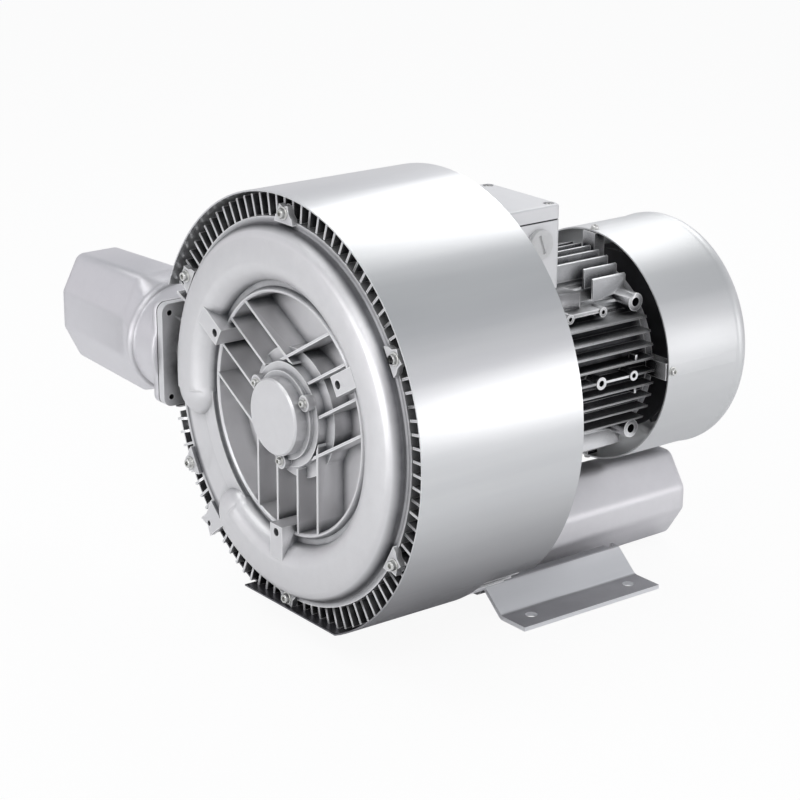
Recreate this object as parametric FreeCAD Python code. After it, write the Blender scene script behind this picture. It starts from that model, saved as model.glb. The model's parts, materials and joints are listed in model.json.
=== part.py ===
import FreeCAD, Part
import os
from math import atan2, cos, degrees, radians, sin, sqrt, tan

# Two-stage side channel blower: finned casing in a sheet shroud, flange motor behind it.
# All sizes are millimetres. The model is built about the shaft axis, with Y running back
# from the front edge of the shroud, and is moved to the centre of the foot holes at the end.

V = FreeCAD.Vector
BACK = V(0, 1, 0)
FRONT = V(0, -1, 0)
UP = V(0, 0, 1)
DOWN = V(0, 0, -1)
LEFT = V(-1, 0, 0)
RIGHT = V(1, 0, 0)

# Shroud's round, which the casing and its channels follow
shroud_r = 218.0
shroud_sheet = 1.5
shroud_flat_cut = 17.0
shroud_flat_z = shroud_flat_cut - shroud_r
fin_clearance = 2.5
fin_height = 22.0
fin_tip_r = shroud_r - shroud_sheet - fin_clearance
casing_r = fin_tip_r - fin_height

# Whole machine
foot_rise = 28.0
axis_height = foot_rise - shroud_flat_z
foot_setback = 286.0
seat_gap = 0.3
touch = 0.01

# Side channels and impellers
channel_r = 25.0
channel_wall = 11.0
channel_mid_r = casing_r - channel_wall - channel_r
rim_width = 43.0
side_gap = 0.5
first_face_y = 20.0
stage_pitch = 100.0
bulge_start = -124.0
bulge_end = 185.0
channel_end_gap = 4.0
transfer_lead = 14.0

# Casing walls
bore_gap = 0.8
web = 8.0
rear_web = 14.0
wall = 4.0
cover_fit = 0.4
spigot_gap = 0.1
spigot_wall = 4.0
spigot_depth = 4.0

# Cooling fins of the casing
fin_count = 96
fin_thickness = 2.6
fin_front_y = 10.0

# Front cover
cover_rim_y = 8.5
lip_width = 4.5
lip_round = 1.5
valley_width = 7.0
valley_inset = 1.0
recess_r = channel_mid_r - channel_r - valley_inset - valley_width - lip_width
valley_y = 10.0
recess_floor_y = 35.0
floor_thickness = 7.0
bulge_crest_y = -9.5
bulge_lean = 5.0
bulge_flat = 22.0
bulge_crest_r = channel_mid_r - bulge_lean
bulge_edge_r = bulge_crest_r + bulge_flat
bulge_edge_y = -7.7
bulge_inset = 5.5
bulge_outer_r = casing_r - bulge_inset
bulge_inner_shoulder = (5.5, 7.5)
bulge_outer_shoulder = (4.5, 5.5)
rim_bead_inset = 6.0
rim_bead_r = casing_r - rim_bead_inset
rim_bead_y = 7.0
stripper_raise = 4.0
stripper_width = 20.0
rib_thickness = 2.8
rib_front_y = 5.0
rib_offsets = (-50.0, -17.0, 17.0, 50.0)
boss_inner_reach = 7.5
boss_outer_reach = 27.5
boss_hole_pitch_r = recess_r
boss_inner_r = boss_hole_pitch_r - boss_inner_reach
boss_outer_r = boss_hole_pitch_r + boss_outer_reach
boss_width = 20.0
boss_front_y = -9.0
boss_hole_r = 4.25
boss_hole_depth = 24.0
boss_angles = (30.0, 150.0, 270.0)
hub_r = 65.0
hub_y = 15.0
collar_r = 52.0
collar_y = 5.0
screw_reach = 7.0
screw_r = casing_r + screw_reach
screw_angles = (30.0, 90.0, 150.0, 210.0, 270.0, 330.0)
lug_r = 8.0
lug_length = 60.0
ear_front_y = 3.5
ear_neck = 6.0
ear_half_widths = (15.0, 13.0, 9.0, 7.0)
spot_face_depth = 12.0
earth_angle = 228.0
earth_inset = 3.0
earth_r = fin_tip_r - earth_inset
earth_ear_half = 12.0
earth_ear_reach = 9.0

# Bearing cap with its three screw ears
cap_face_y = -12.0
cap_r = 38.4
cap_flange_r = 44.0
cap_screw_r = 46.0
cap_ear_r = 8.0
cap_ear_raise = 4.0
cap_flange = 4.0
cap_lip = 5.0
cap_screw_depth = 14.0

# Inside of the casing
joint_bolt_inset = 4.4
joint_bolt_r = casing_r - joint_bolt_inset
joint_bolt_turn = 15.0
seal_r = 40.0
seal_width = 9.0
duct_r = 18.0
pocket_inset = 8.0
partition_hub_r = 42.0
joint_head_ratio = 1.5
joint_spot_r = 8.0

# Shroud
shroud_length = 192.6
shroud_start = -165.0
shroud_end = 157.0
relief_x = -70.0
relief_y = 16.0
notch_y = 129.0
notch_angle = 45.0
post_r = 9.0
post_length = 16.0
shroud_screw_inset = 4.0
shroud_screw_ys = (30.0, 100.0)
under_screw_x = 60.0
under_screw_y = 60.0

# Bearings
bearing_bore = 30.0
bearing_outer = 72.0
bearing_width = 19.0
ball_d = 12.3
ball_pitch_d = 51.0
ball_count = 8
race_wall = 4.6
cage_half = 2.0
running_gap = 0.05
race_fit = 0.03
housing_wall = 7.0

# Shaft
impeller_seat_r = 18.0
motor_seat_r = 24.0
front_bearing_y = 8.0
rear_bearing_y = 374.0
shaft_front_y = -3.0
fan_seat_r = 12.0
shaft_rear_y = 476.0
spacer_r = 26.0
sleeve_wall = 2.0
key_width = 10.0
key_height = 8.0
key_length = 15.0
key_fit = 0.02
nut_wall = 6.0
nut_slot_depth = 3.0
nut_slot_width = 5.0

# Impellers
hub_gap = 1.0
impeller_hub_r = 34.0
impeller_web = 7.0
vane_count = 24
vane_thickness = 3.0
vane_bottom = 16.0
vane_slope = 8.0
rim_wall = 3.0

# Motor
frame_front_y = 190.0
frame_flange_r = 112.0
frame_flange = 14.0
frame_r = 93.0
frame_bore_r = 84.0
frame_rear_y = 389.0
side_fin_count = 9
upright_fin_count = 10
motor_fin_pitch = 13.5
motor_fin_tip_r = 110.0
motor_fin_gap = 4.0
motor_fin_thickness = 2.4
stator_length = 118.0
stator_y = 235.0
rotor_r = 50.0
air_gap = 0.6
slot_count = 24
slot_depth = 18.0
slot_width = 5.2
winding_gap = 0.2
winding_overhang = 22.0
winding_head = 5.0
end_ring_width = 13.0
end_ring_height = 9.0
flange_bolt_r = 102.0
flange_spot_r = 8.4
flange_spot_depth = 30.0
shield_bolt_r = 88.5
shield_thickness = 9.0
shield_spigot = 5.0
shield_rim = 6.0
tab_length = 14.0
tab_half = 9.0
saddle_half = 50.0
saddle_root_z = 67.0
wire_hole_r = 14.0
pedestal_x = 68.0
pedestal_rear_y = 318.0
pedestal_top_z = 84.0
pedestal_root_z = 59.0
rail_root = 10.0
shelf_x = 84.0
shelf_rear_y = 341.0
shelf_z = 68.0
shelf_hole_ys = (292.0, 336.0)
shelf_hole_depth = 12.0
tie_y = 361.0
tie_inset = 7.0
tie_half = 5.0
foot_boss_x = 86.0
foot_boss_y = 378.0
foot_boss_z = 68.0
foot_boss_r = 9.5
small_boss_ys = (312.0, 356.0)
small_boss_rs = (6.5, 5.2)
side_boss_bore = 0.5
side_boss_floor = 3.0

# Fan cowl and fan
cowl_y = 391.6
cowl_r = 124.3
cowl_end_y = 508.0
cowl_end_r = 115.0
cowl_sheet = 1.6
cowl_face_inset = 4.0
cowl_round = 20.0
cowl_shoulder = (6.5, 4.5)
cowl_screw_y = 397.0
grille_rings = (34.0, 50.0, 66.0, 82.0, 98.0)
grille_slot = 9.0
grille_spokes = 6
spoke_width = 8.0
fan_r = 100.0
fan_y = 428.0
fan_width = 38.0
fan_blades = 7
fan_blade = 3.2
fan_disc = 4.0
fan_hub_r = 26.0
clip_wall = 5.0
clip_gap = 6.0

# Terminal box
box_mid_x = 12.0
box_width = 112.0
box_front_y = 206.0
box_rear_y = 290.0
box_seat = 1.0
box_split_z = 164.0
box_top_z = 180.0
box_wall = 3.5
box_corner = 6.0
lid_round = 3.0
lid_ledge = 16.0
lid_post_r = 5.0
lid_screw_inset = 9.0
lid_spot_r = 5.7
lid_spot_depth = 3.5
plug_r = 15.0
plug_y = 262.0
plug_z = 143.0
plug_head = 5.0
plug_round = 1.2
plug_bore_r = 11.0
plug_stem = 12.0
plug_slot_width = 3.0
plug_slot_length = 20.0
plug_turn = 20.0

# Terminal block
terminal_setback = 20.0
terminal_half = (28.0, 12.0)
terminal_height = 12.0
terminal_pitch = 18.0
terminal_bar = (8.0, 22.0, 3.0)
stud_r = 2.5
stud_height = 15.0
stud_y = 7.0

# Inlet silencer, pointing left
inlet_y = 45.0
inlet_z = 9.0
inlet_pad_reach = 11.0
inlet_pad_x = -casing_r - inlet_pad_reach
inlet_pad = 9.0
inlet_reach = 217.0
inlet_end_x = inlet_pad_x - inlet_reach
inlet_half = (45.8, 59.0)
inlet_flat = (25.7, 20.0)
inlet_taper = 1.077
inlet_neck_r = 57.0
inlet_plate_half = (52.0, 55.0)
inlet_screw_half = (43.0, 45.0)
inlet_duct_r = 36.0
inlet_duct_reach = 25.0
inlet_thread_depth = 40.0
bay_inset = 6.5
bay_floor_x = bay_inset - casing_r
bay_rear_y = 105.0
bay_low_z = -48.0
bay_top_z = 66.0

# Outlet silencer, pointing back
outlet_x = 25.0
outlet_below_cowl = 2.7
outlet_pad_y = 199.0
outlet_pad = 9.0
outlet_end_y = 485.0
outlet_half = (38.0, 48.0)
outlet_z = -cowl_r - outlet_below_cowl - outlet_half[1]
outlet_flat = (14.0, 12.5)
outlet_taper = 1.05
outlet_neck_r = 37.0
outlet_plate_half = (39.0, 44.0)
outlet_screw_half = (31.0, 36.0)
outlet_duct_r = 30.0
outlet_duct_raise = 12.0
outlet_bore_raise = 6.0
outlet_thread_depth = 14.0

# Parts shared by both silencers
silencer_wall = 3.0
gasket = 1.5
port_bore_r = 22.0
port_bore_length = 50.0
thread_r = 28.5
liner_gap = 0.3
tube_wall = 1.0
tube_r = 28.0
tube_hole_r = 4.0
tube_hole_pitch = 24.0
silencer_flange = 8.5
flange_floor = 4.0
plate_corner = 9.5
neck_length = 40.0
shoulder_length = 24.0
bead_height = 3.5
bead_width = 8.0
bead_round = 2.1
shoulder_round = 0.8
end_round = 7.0
corner_r = 12.0
end_boss_wall = 5.0
port_depth = 18.0
port_seat = 4.0

# Feet
foot_sheet = 4.5
foot_bend = 9.0
foot_spacing_x = 236.0
foot_spacing_y = 132.0
foot_hole_r = 6.25
foot_edge_x = 139.0
foot_web_x = 66.0
foot_crest_x = 85.0
foot_toe_x = 103.0
foot_front_y = 193.5
foot_rear_y = 376.0
tongue_front_y = 134.0
tongue_inner_x = 22.0
tongue_overlap = 12.0
foot_screw_x = 46.0
foot_screw_ys = (148.0, 176.0)
foot_screw_gap = 0.5
foot_pad_half = 22.0
foot_pad_root = 12.0
dip_r = 5.0
dip_inset = 8.0

# Fasteners
m5_r = 2.4
m6_r = 3.0
m8_r = 4.0
head_ratio = 1.65
shield_head_ratio = 1.4
head_height = 1.2
shank_gap = 0.15
tapped_depth = 20.0
cover_screw_length = 36.0
cover_thread_depth = 32.0
joint_thread_depth = 22.0
flange_thread = 10.0
flange_bolt_length = 30.0
short_screw_length = 14.0
shield_thread_depth = 16.0
cowl_screw_length = 10.0
lid_screw_length = 24.0
lid_thread_depth = 16.0
foot_thread_depth = 12.0

# Values that follow from the ones above
impeller_r = channel_mid_r + channel_r + 1.0
casing_bore_r = impeller_r + bore_gap
first_rear_y = first_face_y + rim_width + 2 * side_gap
second_face_y = first_face_y + stage_pitch
second_rear_y = first_rear_y + stage_pitch
rear_wall_y = second_rear_y + channel_r + 1.0
recess_wall_r = recess_r + lip_width + valley_width
rim_inner_r = recess_wall_r + bore_gap
bearing_r = bearing_outer / 2
bearing_bore_r = bearing_bore / 2
ear_thickness = fin_front_y - ear_front_y
plate_back_y = recess_floor_y + floor_thickness
hub_front = plate_back_y + hub_gap - first_face_y
hub_length = side_gap + rim_width - hub_front
shoulder_y = second_face_y + side_gap + rim_width
box_bottom_z = frame_r + box_seat
box_mid_y = (box_front_y + box_rear_y) / 2
box_left_x = box_mid_x - box_width / 2
box_right_x = box_mid_x + box_width / 2
foot_web_z = shroud_flat_z - seat_gap
foot_flange_z = -axis_height + foot_sheet
inlet_start_x = inlet_pad_x - inlet_pad - gasket
inlet_length = inlet_start_x - inlet_end_x
outlet_start_y = outlet_pad_y + outlet_pad + gasket
outlet_length = outlet_end_y - outlet_start_y


# Basic shapes

def rod(radius, y0, y1):
    return Part.makeCylinder(radius, y1 - y0, V(0, y0, 0), BACK)


def ring(outer, inner, y0, y1):
    return rod(outer, y0, y1).cut(rod(inner, y0 - 1, y1 + 1))


def block(x0, x1, y0, y1, z0, z1):
    return Part.makeBox(x1 - x0, y1 - y0, z1 - z0, V(x0, y0, z0))


def peg(radius, start, direction, length):
    return Part.makeCylinder(radius, length, start, direction)


def polygon(points):
    return Part.Face(Part.makePolygon([V(*p) for p in points + points[:1]]))


def joined(shapes):
    first = shapes[0]
    return first.multiFuse(shapes[1:]).removeSplitter() if len(shapes) > 1 else first


def turned(points, start=0.0, sweep=360.0):
    """Revolve an outline given as (radius, depth) pairs, anticlockwise as seen from the front."""
    face = polygon([(r, y, 0) for r, y in points])
    return spun(face, start, sweep)


def spun(face, start=0.0, sweep=360.0):
    solid = face.revolve(V(0, 0, 0), FRONT, sweep)
    solid.rotate(V(0, 0, 0), FRONT, start)
    return solid


def at_angle(shape, angle):
    copy = shape.copy()
    copy.rotate(V(0, 0, 0), FRONT, angle)
    return copy


def around(shape, angles):
    return [at_angle(shape, angle) for angle in angles]


def even(count, offset=0.0):
    return [offset + 360.0 * i / count for i in range(count)]


def polar(radius, angle, y=0.0):
    return V(radius * cos(radians(angle)), y, radius * sin(radians(angle)))


def screw(radius, seat, direction, length, head=head_ratio):
    """Plain head outside the seat point, shank running the other way in its hole."""
    shank = peg(radius - shank_gap, seat, -direction, length)
    cap = peg(radius * head, seat, direction, radius * head_height)
    return cap.fuse(shank)


def save(name, shape):
    shape = shape.copy()
    shape.translate(V(0, -foot_setback, axis_height))
    shape.exportStep("parts/" + name + ".step")
    return shape


# Front cover

def bulge_face():
    inner = recess_wall_r
    outer = bulge_outer_r
    base = cover_rim_y + wall
    in_r, in_y = bulge_inner_shoulder
    out_r, out_y = bulge_outer_shoulder
    start = V(inner, cover_rim_y, 0)
    crest = V(bulge_crest_r, bulge_crest_y, 0)
    edge = V(bulge_edge_r, bulge_edge_y, 0)
    rim = V(outer, cover_rim_y, 0)
    edges = [
        Part.Arc(start, V(inner + in_r, bulge_crest_y + in_y, 0), crest).toShape(),
        Part.LineSegment(crest, edge).toShape(),
        Part.Arc(edge, V(outer - out_r, bulge_edge_y + out_y, 0), rim).toShape(),
        Part.LineSegment(rim, V(outer, base, 0)).toShape(),
        Part.LineSegment(V(outer, base, 0), V(inner, base, 0)).toShape(),
        Part.LineSegment(V(inner, base, 0), start).toShape()]
    return Part.Face(Part.Wire(edges))


def bulge_cap(angle):
    """Rounded end of the side channel bulge."""
    middle = (recess_wall_r + bulge_outer_r) / 2
    half = middle - recess_wall_r
    height = cover_rim_y - bulge_crest_y
    dome = Part.makeSphere(half)
    stretch = FreeCAD.Matrix()
    stretch.scale(V(1, height / half, 1))
    dome = dome.transformGeometry(stretch)
    dome.translate(V(middle, cover_rim_y, 0))
    dome = dome.common(block(0, casing_r, bulge_crest_y - 1, cover_rim_y + 2, -half, half))
    return at_angle(dome, angle)


def channel_cut(face_y):
    """The half-round channel, open all round but for the stripper."""
    start = bulge_start + channel_end_gap
    sweep = bulge_end - bulge_start - 2 * channel_end_gap
    section = Part.Face(Part.Wire(Part.makeCircle(channel_r, V(channel_mid_r, face_y, 0), UP)))
    return spun(section, start, sweep)


def cover_screw_r(angle):
    """The screws share one circle, but the lowest moves in to clear the shroud's flat."""
    room = -shroud_flat_z - shroud_sheet - seat_gap - lug_r
    drop = -sin(radians(angle))
    return min(screw_r, room / drop) if drop > 0 else screw_r


def cover_ear(radius):
    """Three-pointed screw ear, drawn on the +X axis."""
    root = radius - lug_r - 2
    tip = radius + lug_r
    side = list(zip((root, root + ear_neck, radius, tip), ear_half_widths))
    outline = [(x, -z) for x, z in side] + [(tip - 2, 0)] + side[::-1]
    face = polygon([(x, ear_front_y, z) for x, z in outline])
    return face.extrude(V(0, ear_thickness, 0))


def front_cover():
    lip_r = recess_r + lip_width
    base = turned([(recess_r, rib_front_y + lip_round), (recess_r + lip_round, rib_front_y),
                   (lip_r - lip_round, rib_front_y), (lip_r, rib_front_y + lip_round),
                   (lip_r + lip_round, valley_y), (recess_wall_r, valley_y),
                   (recess_wall_r + 2, cover_rim_y), (rim_bead_r, rim_bead_y),
                   (rim_bead_r + 2, cover_rim_y), (casing_r, cover_rim_y),
                   (casing_r, first_face_y), (recess_wall_r, first_face_y),
                   (recess_wall_r, plate_back_y), (hub_r / 2, plate_back_y),
                   (hub_r / 2, recess_floor_y), (recess_r, recess_floor_y)])
    pieces = [base, spun(bulge_face(), bulge_start, bulge_end - bulge_start)]
    pieces += [bulge_cap(bulge_start), bulge_cap(bulge_end)]
    top = cover_rim_y - stripper_raise
    edge_r = recess_wall_r + stripper_width
    pieces.append(turned([(recess_wall_r, top), (edge_r, top + 1),
                          (edge_r + stripper_raise, cover_rim_y + 1),
                          (recess_wall_r, cover_rim_y + 1)],
                         bulge_end, 360 + bulge_start - bulge_end))
    pieces.append(rod(hub_r, hub_y, plate_back_y))
    pieces.append(rod(collar_r, collar_y, hub_y))
    zone = ring(recess_r + 1, collar_r + 2, rib_front_y, recess_floor_y + 1)
    boss_zone = joined([rod(casing_r, boss_front_y - 1, cover_rim_y + wall),
                        rod(recess_wall_r, cover_rim_y, recess_floor_y + 1)])
    for angle in boss_angles:
        for offset in rib_offsets:
            rib = block(0, recess_r + 2, rib_front_y, recess_floor_y + 1,
                        offset - rib_thickness / 2, offset + rib_thickness / 2)
            pieces.append(at_angle(rib, angle).common(zone))
        boss = block(boss_inner_r, boss_outer_r, boss_front_y, recess_floor_y,
                     -boss_width / 2, boss_width / 2)
        pieces.append(at_angle(boss, angle).common(boss_zone))
    pieces += [at_angle(cover_ear(cover_screw_r(a)), a) for a in screw_angles]
    pieces.append(at_angle(earth_ear(), earth_angle))
    body = joined(pieces)
    body = body.cut(channel_cut(first_face_y))
    body = body.cut(rod(bearing_r, collar_y - 1, front_bearing_y + bearing_width))
    body = body.cut(rod(impeller_seat_r + sleeve_wall + 1, front_bearing_y, plate_back_y + 1))
    holes = [peg(m6_r, polar(earth_r, earth_angle, ear_front_y - 1), BACK, tapped_depth)]
    for angle in boss_angles:
        mouth = polar(boss_hole_pitch_r, angle, boss_front_y)
        holes.append(peg(boss_hole_r, mouth, BACK, boss_hole_depth))
        holes.append(peg(m6_r, polar(cap_screw_r, angle, collar_y), BACK, cap_screw_depth))
    for angle in screw_angles:
        seat = polar(cover_screw_r(angle), angle, ear_front_y)
        holes.append(peg(m8_r, seat, BACK, first_face_y - ear_front_y + 1))
        holes.append(peg(m8_r * head_ratio + seat_gap, seat, FRONT, spot_face_depth))
    return body.cut(holes)


def earth_ear():
    root = casing_r - 3
    tip = earth_r + earth_ear_reach
    half = earth_ear_half
    outline = [(root, -half - 2), (earth_r - 4, 2 - half), (tip, -half), (earth_r + 4, 0),
               (tip, half - 2), (earth_r - 4, half), (root, half + 4)]
    face = polygon([(x, ear_front_y + 1, z) for x, z in outline])
    return face.extrude(V(0, ear_thickness - 1, 0))


def cap_seat_y():
    return collar_y - cap_flange - cap_ear_raise


def bearing_cap():
    bore_r = bearing_r - cap_lip
    spigot_r = bearing_r - 2 * spigot_gap
    cup = turned([(0, cap_face_y), (cap_r - 2, cap_face_y), (cap_r, cap_face_y + 2),
                  (cap_r, collar_y - cap_flange), (cap_flange_r, collar_y - cap_flange),
                  (cap_flange_r, collar_y), (spigot_r, collar_y), (spigot_r, front_bearing_y),
                  (bore_r, front_bearing_y), (bore_r, cap_face_y + wall),
                  (0, cap_face_y + wall)])
    ears = [peg(cap_ear_r, polar(cap_screw_r, a, cap_seat_y()), BACK, cap_flange + cap_ear_raise)
            for a in boss_angles]
    cup = joined([cup] + ears)
    cup = cup.cut(rod(bore_r, cap_face_y + wall, front_bearing_y + 1))
    for angle in boss_angles:
        hole = peg(m6_r, polar(cap_screw_r, angle, cap_face_y), BACK, collar_y - cap_face_y + 1)
        cup = cup.cut(hole)
    return cup


# Casing halves

def fin_profile():
    """Outline of the casing wall with its radial fins, as one closed face."""
    points = []
    half = fin_thickness / 2
    root = sqrt(casing_r ** 2 - half ** 2)
    for angle in even(fin_count, 180.0 / fin_count):
        turn = V(cos(radians(angle)), 0, sin(radians(angle)))
        side = V(-turn.z, 0, turn.x)
        points += [turn * root - side * half, turn * fin_tip_r - side * half,
                   turn * fin_tip_r + side * half, turn * root + side * half]
    outline = Part.Face(Part.makePolygon(points + points[:1]))
    return outline


def finned_ring(y0, y1):
    body = fin_profile().extrude(V(0, y1 - y0, 0))
    body.translate(V(0, y0, 0))
    floor = block(-fin_tip_r, fin_tip_r, y0 - 1, y1 + 1, shroud_flat_z + shroud_sheet + seat_gap,
                  fin_tip_r)
    return body.common(floor)


def front_housing():
    body = finned_ring(fin_front_y, second_face_y)
    bay = block(-fin_tip_r - 1, bay_floor_x, fin_front_y - 1, bay_rear_y, bay_low_z, bay_top_z)
    body = body.cut(bay.cut(rod(casing_r, 0, second_face_y)))
    bosses = [peg(lug_r, polar(cover_screw_r(a), a, fin_front_y), BACK, lug_length)
              for a in screw_angles]
    neck = peg(inlet_duct_r, V(inlet_pad_x, inlet_y, inlet_z), RIGHT, inlet_duct_reach)
    pocket_r = recess_wall_r - pocket_inset
    labyrinth = rod(recess_wall_r, second_face_y - 1, second_face_y - first_face_y + plate_back_y)
    body = joined([body, neck, labyrinth] + bosses + shroud_posts() + [inlet_pad_plate()])
    body = body.cut(rod(casing_r + cover_fit, 0, first_face_y))
    body = body.cut(rod(casing_bore_r, first_face_y - 1, first_rear_y))
    body = body.cut(channel_cut(first_rear_y)).cut(channel_cut(second_face_y))
    web_mid = (first_rear_y + second_face_y) / 2
    for y0, y1 in ((first_rear_y - 1, web_mid - web / 2), (web_mid + web / 2, rear_wall_y)):
        body = body.cut(ring(pocket_r, partition_hub_r, y0, y1))
    body = body.cut(rod(partition_hub_r + 1, second_face_y, rear_wall_y))
    body = body.cut(rod(spacer_r + bore_gap, 0, second_face_y + 1))
    transfer = peg(duct_r, polar(channel_mid_r, bulge_end + transfer_lead, first_rear_y - 1), BACK,
                   second_face_y - first_rear_y + 2)
    port = peg(port_bore_r, V(inlet_start_x, inlet_y, inlet_z), RIGHT, port_bore_length)
    holes = [transfer, port]
    for angle in screw_angles:
        holes.append(peg(m8_r, polar(cover_screw_r(angle), angle), BACK,
                         fin_front_y + cover_thread_depth))
        holes.append(peg(m8_r, joint_bolt_place(angle, second_face_y + 1), FRONT,
                         joint_thread_depth))
    holes += [as_inlet(peg(m6_r, point, FRONT, inlet_thread_depth))
              for point in corner_points(inlet_screw_half)]
    holes += [peg(m6_r, seat, -outward, tapped_depth) for seat, outward in shroud_hole_points()]
    return body.cut(holes)


def joint_bolt_place(angle, y):
    return polar(joint_bolt_r, angle + joint_bolt_turn, y)


def corner_points(half, y=0.0):
    return [V(sx * half[0], y, sz * half[1]) for sx in (-1, 1) for sz in (-1, 1)]


def rounded_plate(half, thickness):
    """Upright rounded rectangle in the XZ plane, from Y = 0 back."""
    plate = block(-half[0], half[0], 0, thickness, -half[1], half[1])
    return plate.makeFillet(plate_corner, [e for e in plate.Edges if abs(
        e.Vertexes[0].Y - e.Vertexes[1].Y) > thickness / 2])


def turn_left(shape):
    """Stand a piece that points back so that it points left."""
    copy = shape.copy()
    copy.rotate(V(0, 0, 0), UP, 90)
    return copy


def as_inlet(shape):
    """Place a piece drawn from Y = 0 back at the inlet, pointing left."""
    copy = turn_left(shape)
    copy.translate(V(inlet_start_x, inlet_y, inlet_z))
    return copy


def as_outlet(shape):
    """Place a piece drawn from Y = 0 back at the outlet."""
    copy = shape.copy()
    copy.translate(V(outlet_x, outlet_start_y, outlet_z))
    return copy


def inlet_pad_plate():
    plate = turn_left(rounded_plate(inlet_plate_half, inlet_pad))
    plate.translate(V(inlet_pad_x, inlet_y, inlet_z))
    return plate


def outlet_pad_plate():
    plate = rounded_plate(outlet_plate_half, outlet_pad)
    plate.translate(V(outlet_x, outlet_pad_y, outlet_z))
    return plate


def shroud_hole_points():
    """Screw places beside the inlet's window and under the flat."""
    ends = (shroud_end - shroud_screw_inset, shroud_start + shroud_screw_inset)
    side = [(polar(shroud_r, angle, y), polar(1, angle)) for angle in ends for y in shroud_screw_ys]
    under = [(V(side_x, under_screw_y, shroud_flat_z), DOWN)
             for side_x in (-under_screw_x, under_screw_x)]
    return side + under


def rear_housing():
    body = finned_ring(second_face_y, rear_wall_y - wall)
    body = body.cut(rod(casing_bore_r, second_face_y - 1, rear_wall_y + 1))
    inner = rod(casing_bore_r + 1, second_rear_y, rear_wall_y)
    boss = rod(frame_flange_r, second_rear_y, frame_front_y)
    neck = peg(outlet_duct_r, V(outlet_x, second_rear_y, outlet_z + outlet_duct_raise), BACK,
               outlet_pad_y - second_rear_y + 1)
    pads = [block(x - foot_pad_half, x + foot_pad_half, tongue_front_y, rear_wall_y, shroud_flat_z,
                  foot_pad_root - casing_r) for x in (-foot_screw_x, foot_screw_x)]
    body = joined([body, inner, boss, neck, outlet_pad_plate()] + pads)
    body = body.cut(rod(casing_bore_r, second_face_y - 1, second_rear_y))
    body = body.cut(channel_cut(second_rear_y))
    body = body.cut(ring(recess_wall_r - pocket_inset, partition_hub_r, second_rear_y - 1,
                         rear_wall_y - rear_web))
    body = body.cut(rod(seal_r, second_rear_y - 1, frame_front_y + 1))
    socket = rod(frame_bore_r + spigot_wall, frame_front_y - spigot_depth, frame_front_y + 1)
    body = body.cut(socket)
    mouth = V(outlet_x, outlet_start_y, outlet_z + outlet_bore_raise)
    holes = [peg(port_bore_r, mouth, FRONT, outlet_start_y - second_rear_y - wall)]
    for angle in screw_angles:
        holes.append(peg(m8_r, joint_bolt_place(angle, second_face_y - 1), BACK,
                         rear_wall_y - second_face_y + 1))
        holes.append(peg(joint_spot_r, joint_bolt_place(angle, rear_wall_y - wall), BACK,
                         tapped_depth))
    holes += [peg(m8_r, polar(flange_bolt_r, angle, frame_front_y + 1), FRONT, tapped_depth)
              for angle in even(4, 45)]
    holes += [peg(m8_r, V(x, y, shroud_flat_z - 1), UP, foot_thread_depth)
              for x in (-foot_screw_x, foot_screw_x) for y in foot_screw_ys]
    holes += [as_outlet(peg(m6_r, point, FRONT, outlet_thread_depth))
              for point in corner_points(outlet_screw_half)]
    return body.cut(holes)


# Shroud

def shroud():
    sweep = shroud_end - shroud_start
    flat = block(-shroud_r, shroud_r, -1, shroud_length + 1, shroud_flat_z, shroud_r)
    inner_flat = block(-shroud_r, shroud_r, -2, shroud_length + 2, shroud_flat_z + shroud_sheet,
                       shroud_r)
    outer = rod(shroud_r, 0, shroud_length).common(flat)
    inner = rod(shroud_r - shroud_sheet, -1, shroud_length + 1).common(inner_flat)
    gap = turned([(casing_r, -2), (shroud_r + 2, -2), (shroud_r + 2, shroud_length + 2),
                  (casing_r, shroud_length + 2)], shroud_end, 360 - sweep)
    body = outer.cut(inner).cut(gap)
    body = body.cut(block(-shroud_r - 1, relief_x, -1, relief_y, -shroud_r, 0))
    depth = shroud_r * sin(radians(notch_angle))
    body = body.cut(block(-shroud_r, shroud_r, notch_y, shroud_length + 1, -shroud_r, -depth))
    for seat, outward in shroud_hole_points():
        body = body.cut(peg(m6_r, seat + outward * 2, -outward, 2 * shroud_sheet + 2))
    return body


def shroud_posts():
    """Pads on the casing that the shroud rests on where its screws go in."""
    pads = []
    for seat, outward in shroud_hole_points():
        top = seat - outward * (shroud_sheet + seat_gap)
        pads.append(peg(post_r, top, -outward, post_length))
    return pads


# Silencers

def octagon(half, flat, scale, corner):
    """Rounded octagon in the XZ plane, as a wire."""
    a, b = half[0] * scale, half[1] * scale
    d, c = flat[0] * scale, flat[1] * scale
    ring_points = [(d, b), (a, c), (a, -c), (d, -b), (-d, -b), (-a, -c), (-a, c), (-d, b)]
    points = [V(x, 0, z) for x, z in ring_points]
    edges = []
    last = None
    for i, point in enumerate(points):
        before = (points[i - 1] - point).normalize()
        after = (points[(i + 1) % len(points)] - point).normalize()
        half_angle = before.getAngle(after) / 2
        reach = corner / tan(half_angle)
        enter = point + before * reach
        leave = point + after * reach
        bisector = (before + after).normalize()
        middle = point + bisector * (corner / sin(half_angle) - corner)
        if last is not None:
            edges.append(Part.LineSegment(last, enter).toShape())
        else:
            first = enter
        edges.append(Part.Arc(enter, middle, leave).toShape())
        last = leave
    edges.append(Part.LineSegment(last, first).toShape())
    return Part.Wire(edges)


def placed_wire(wire, y):
    copy = wire.copy()
    copy.translate(V(0, y, 0))
    return copy


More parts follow.
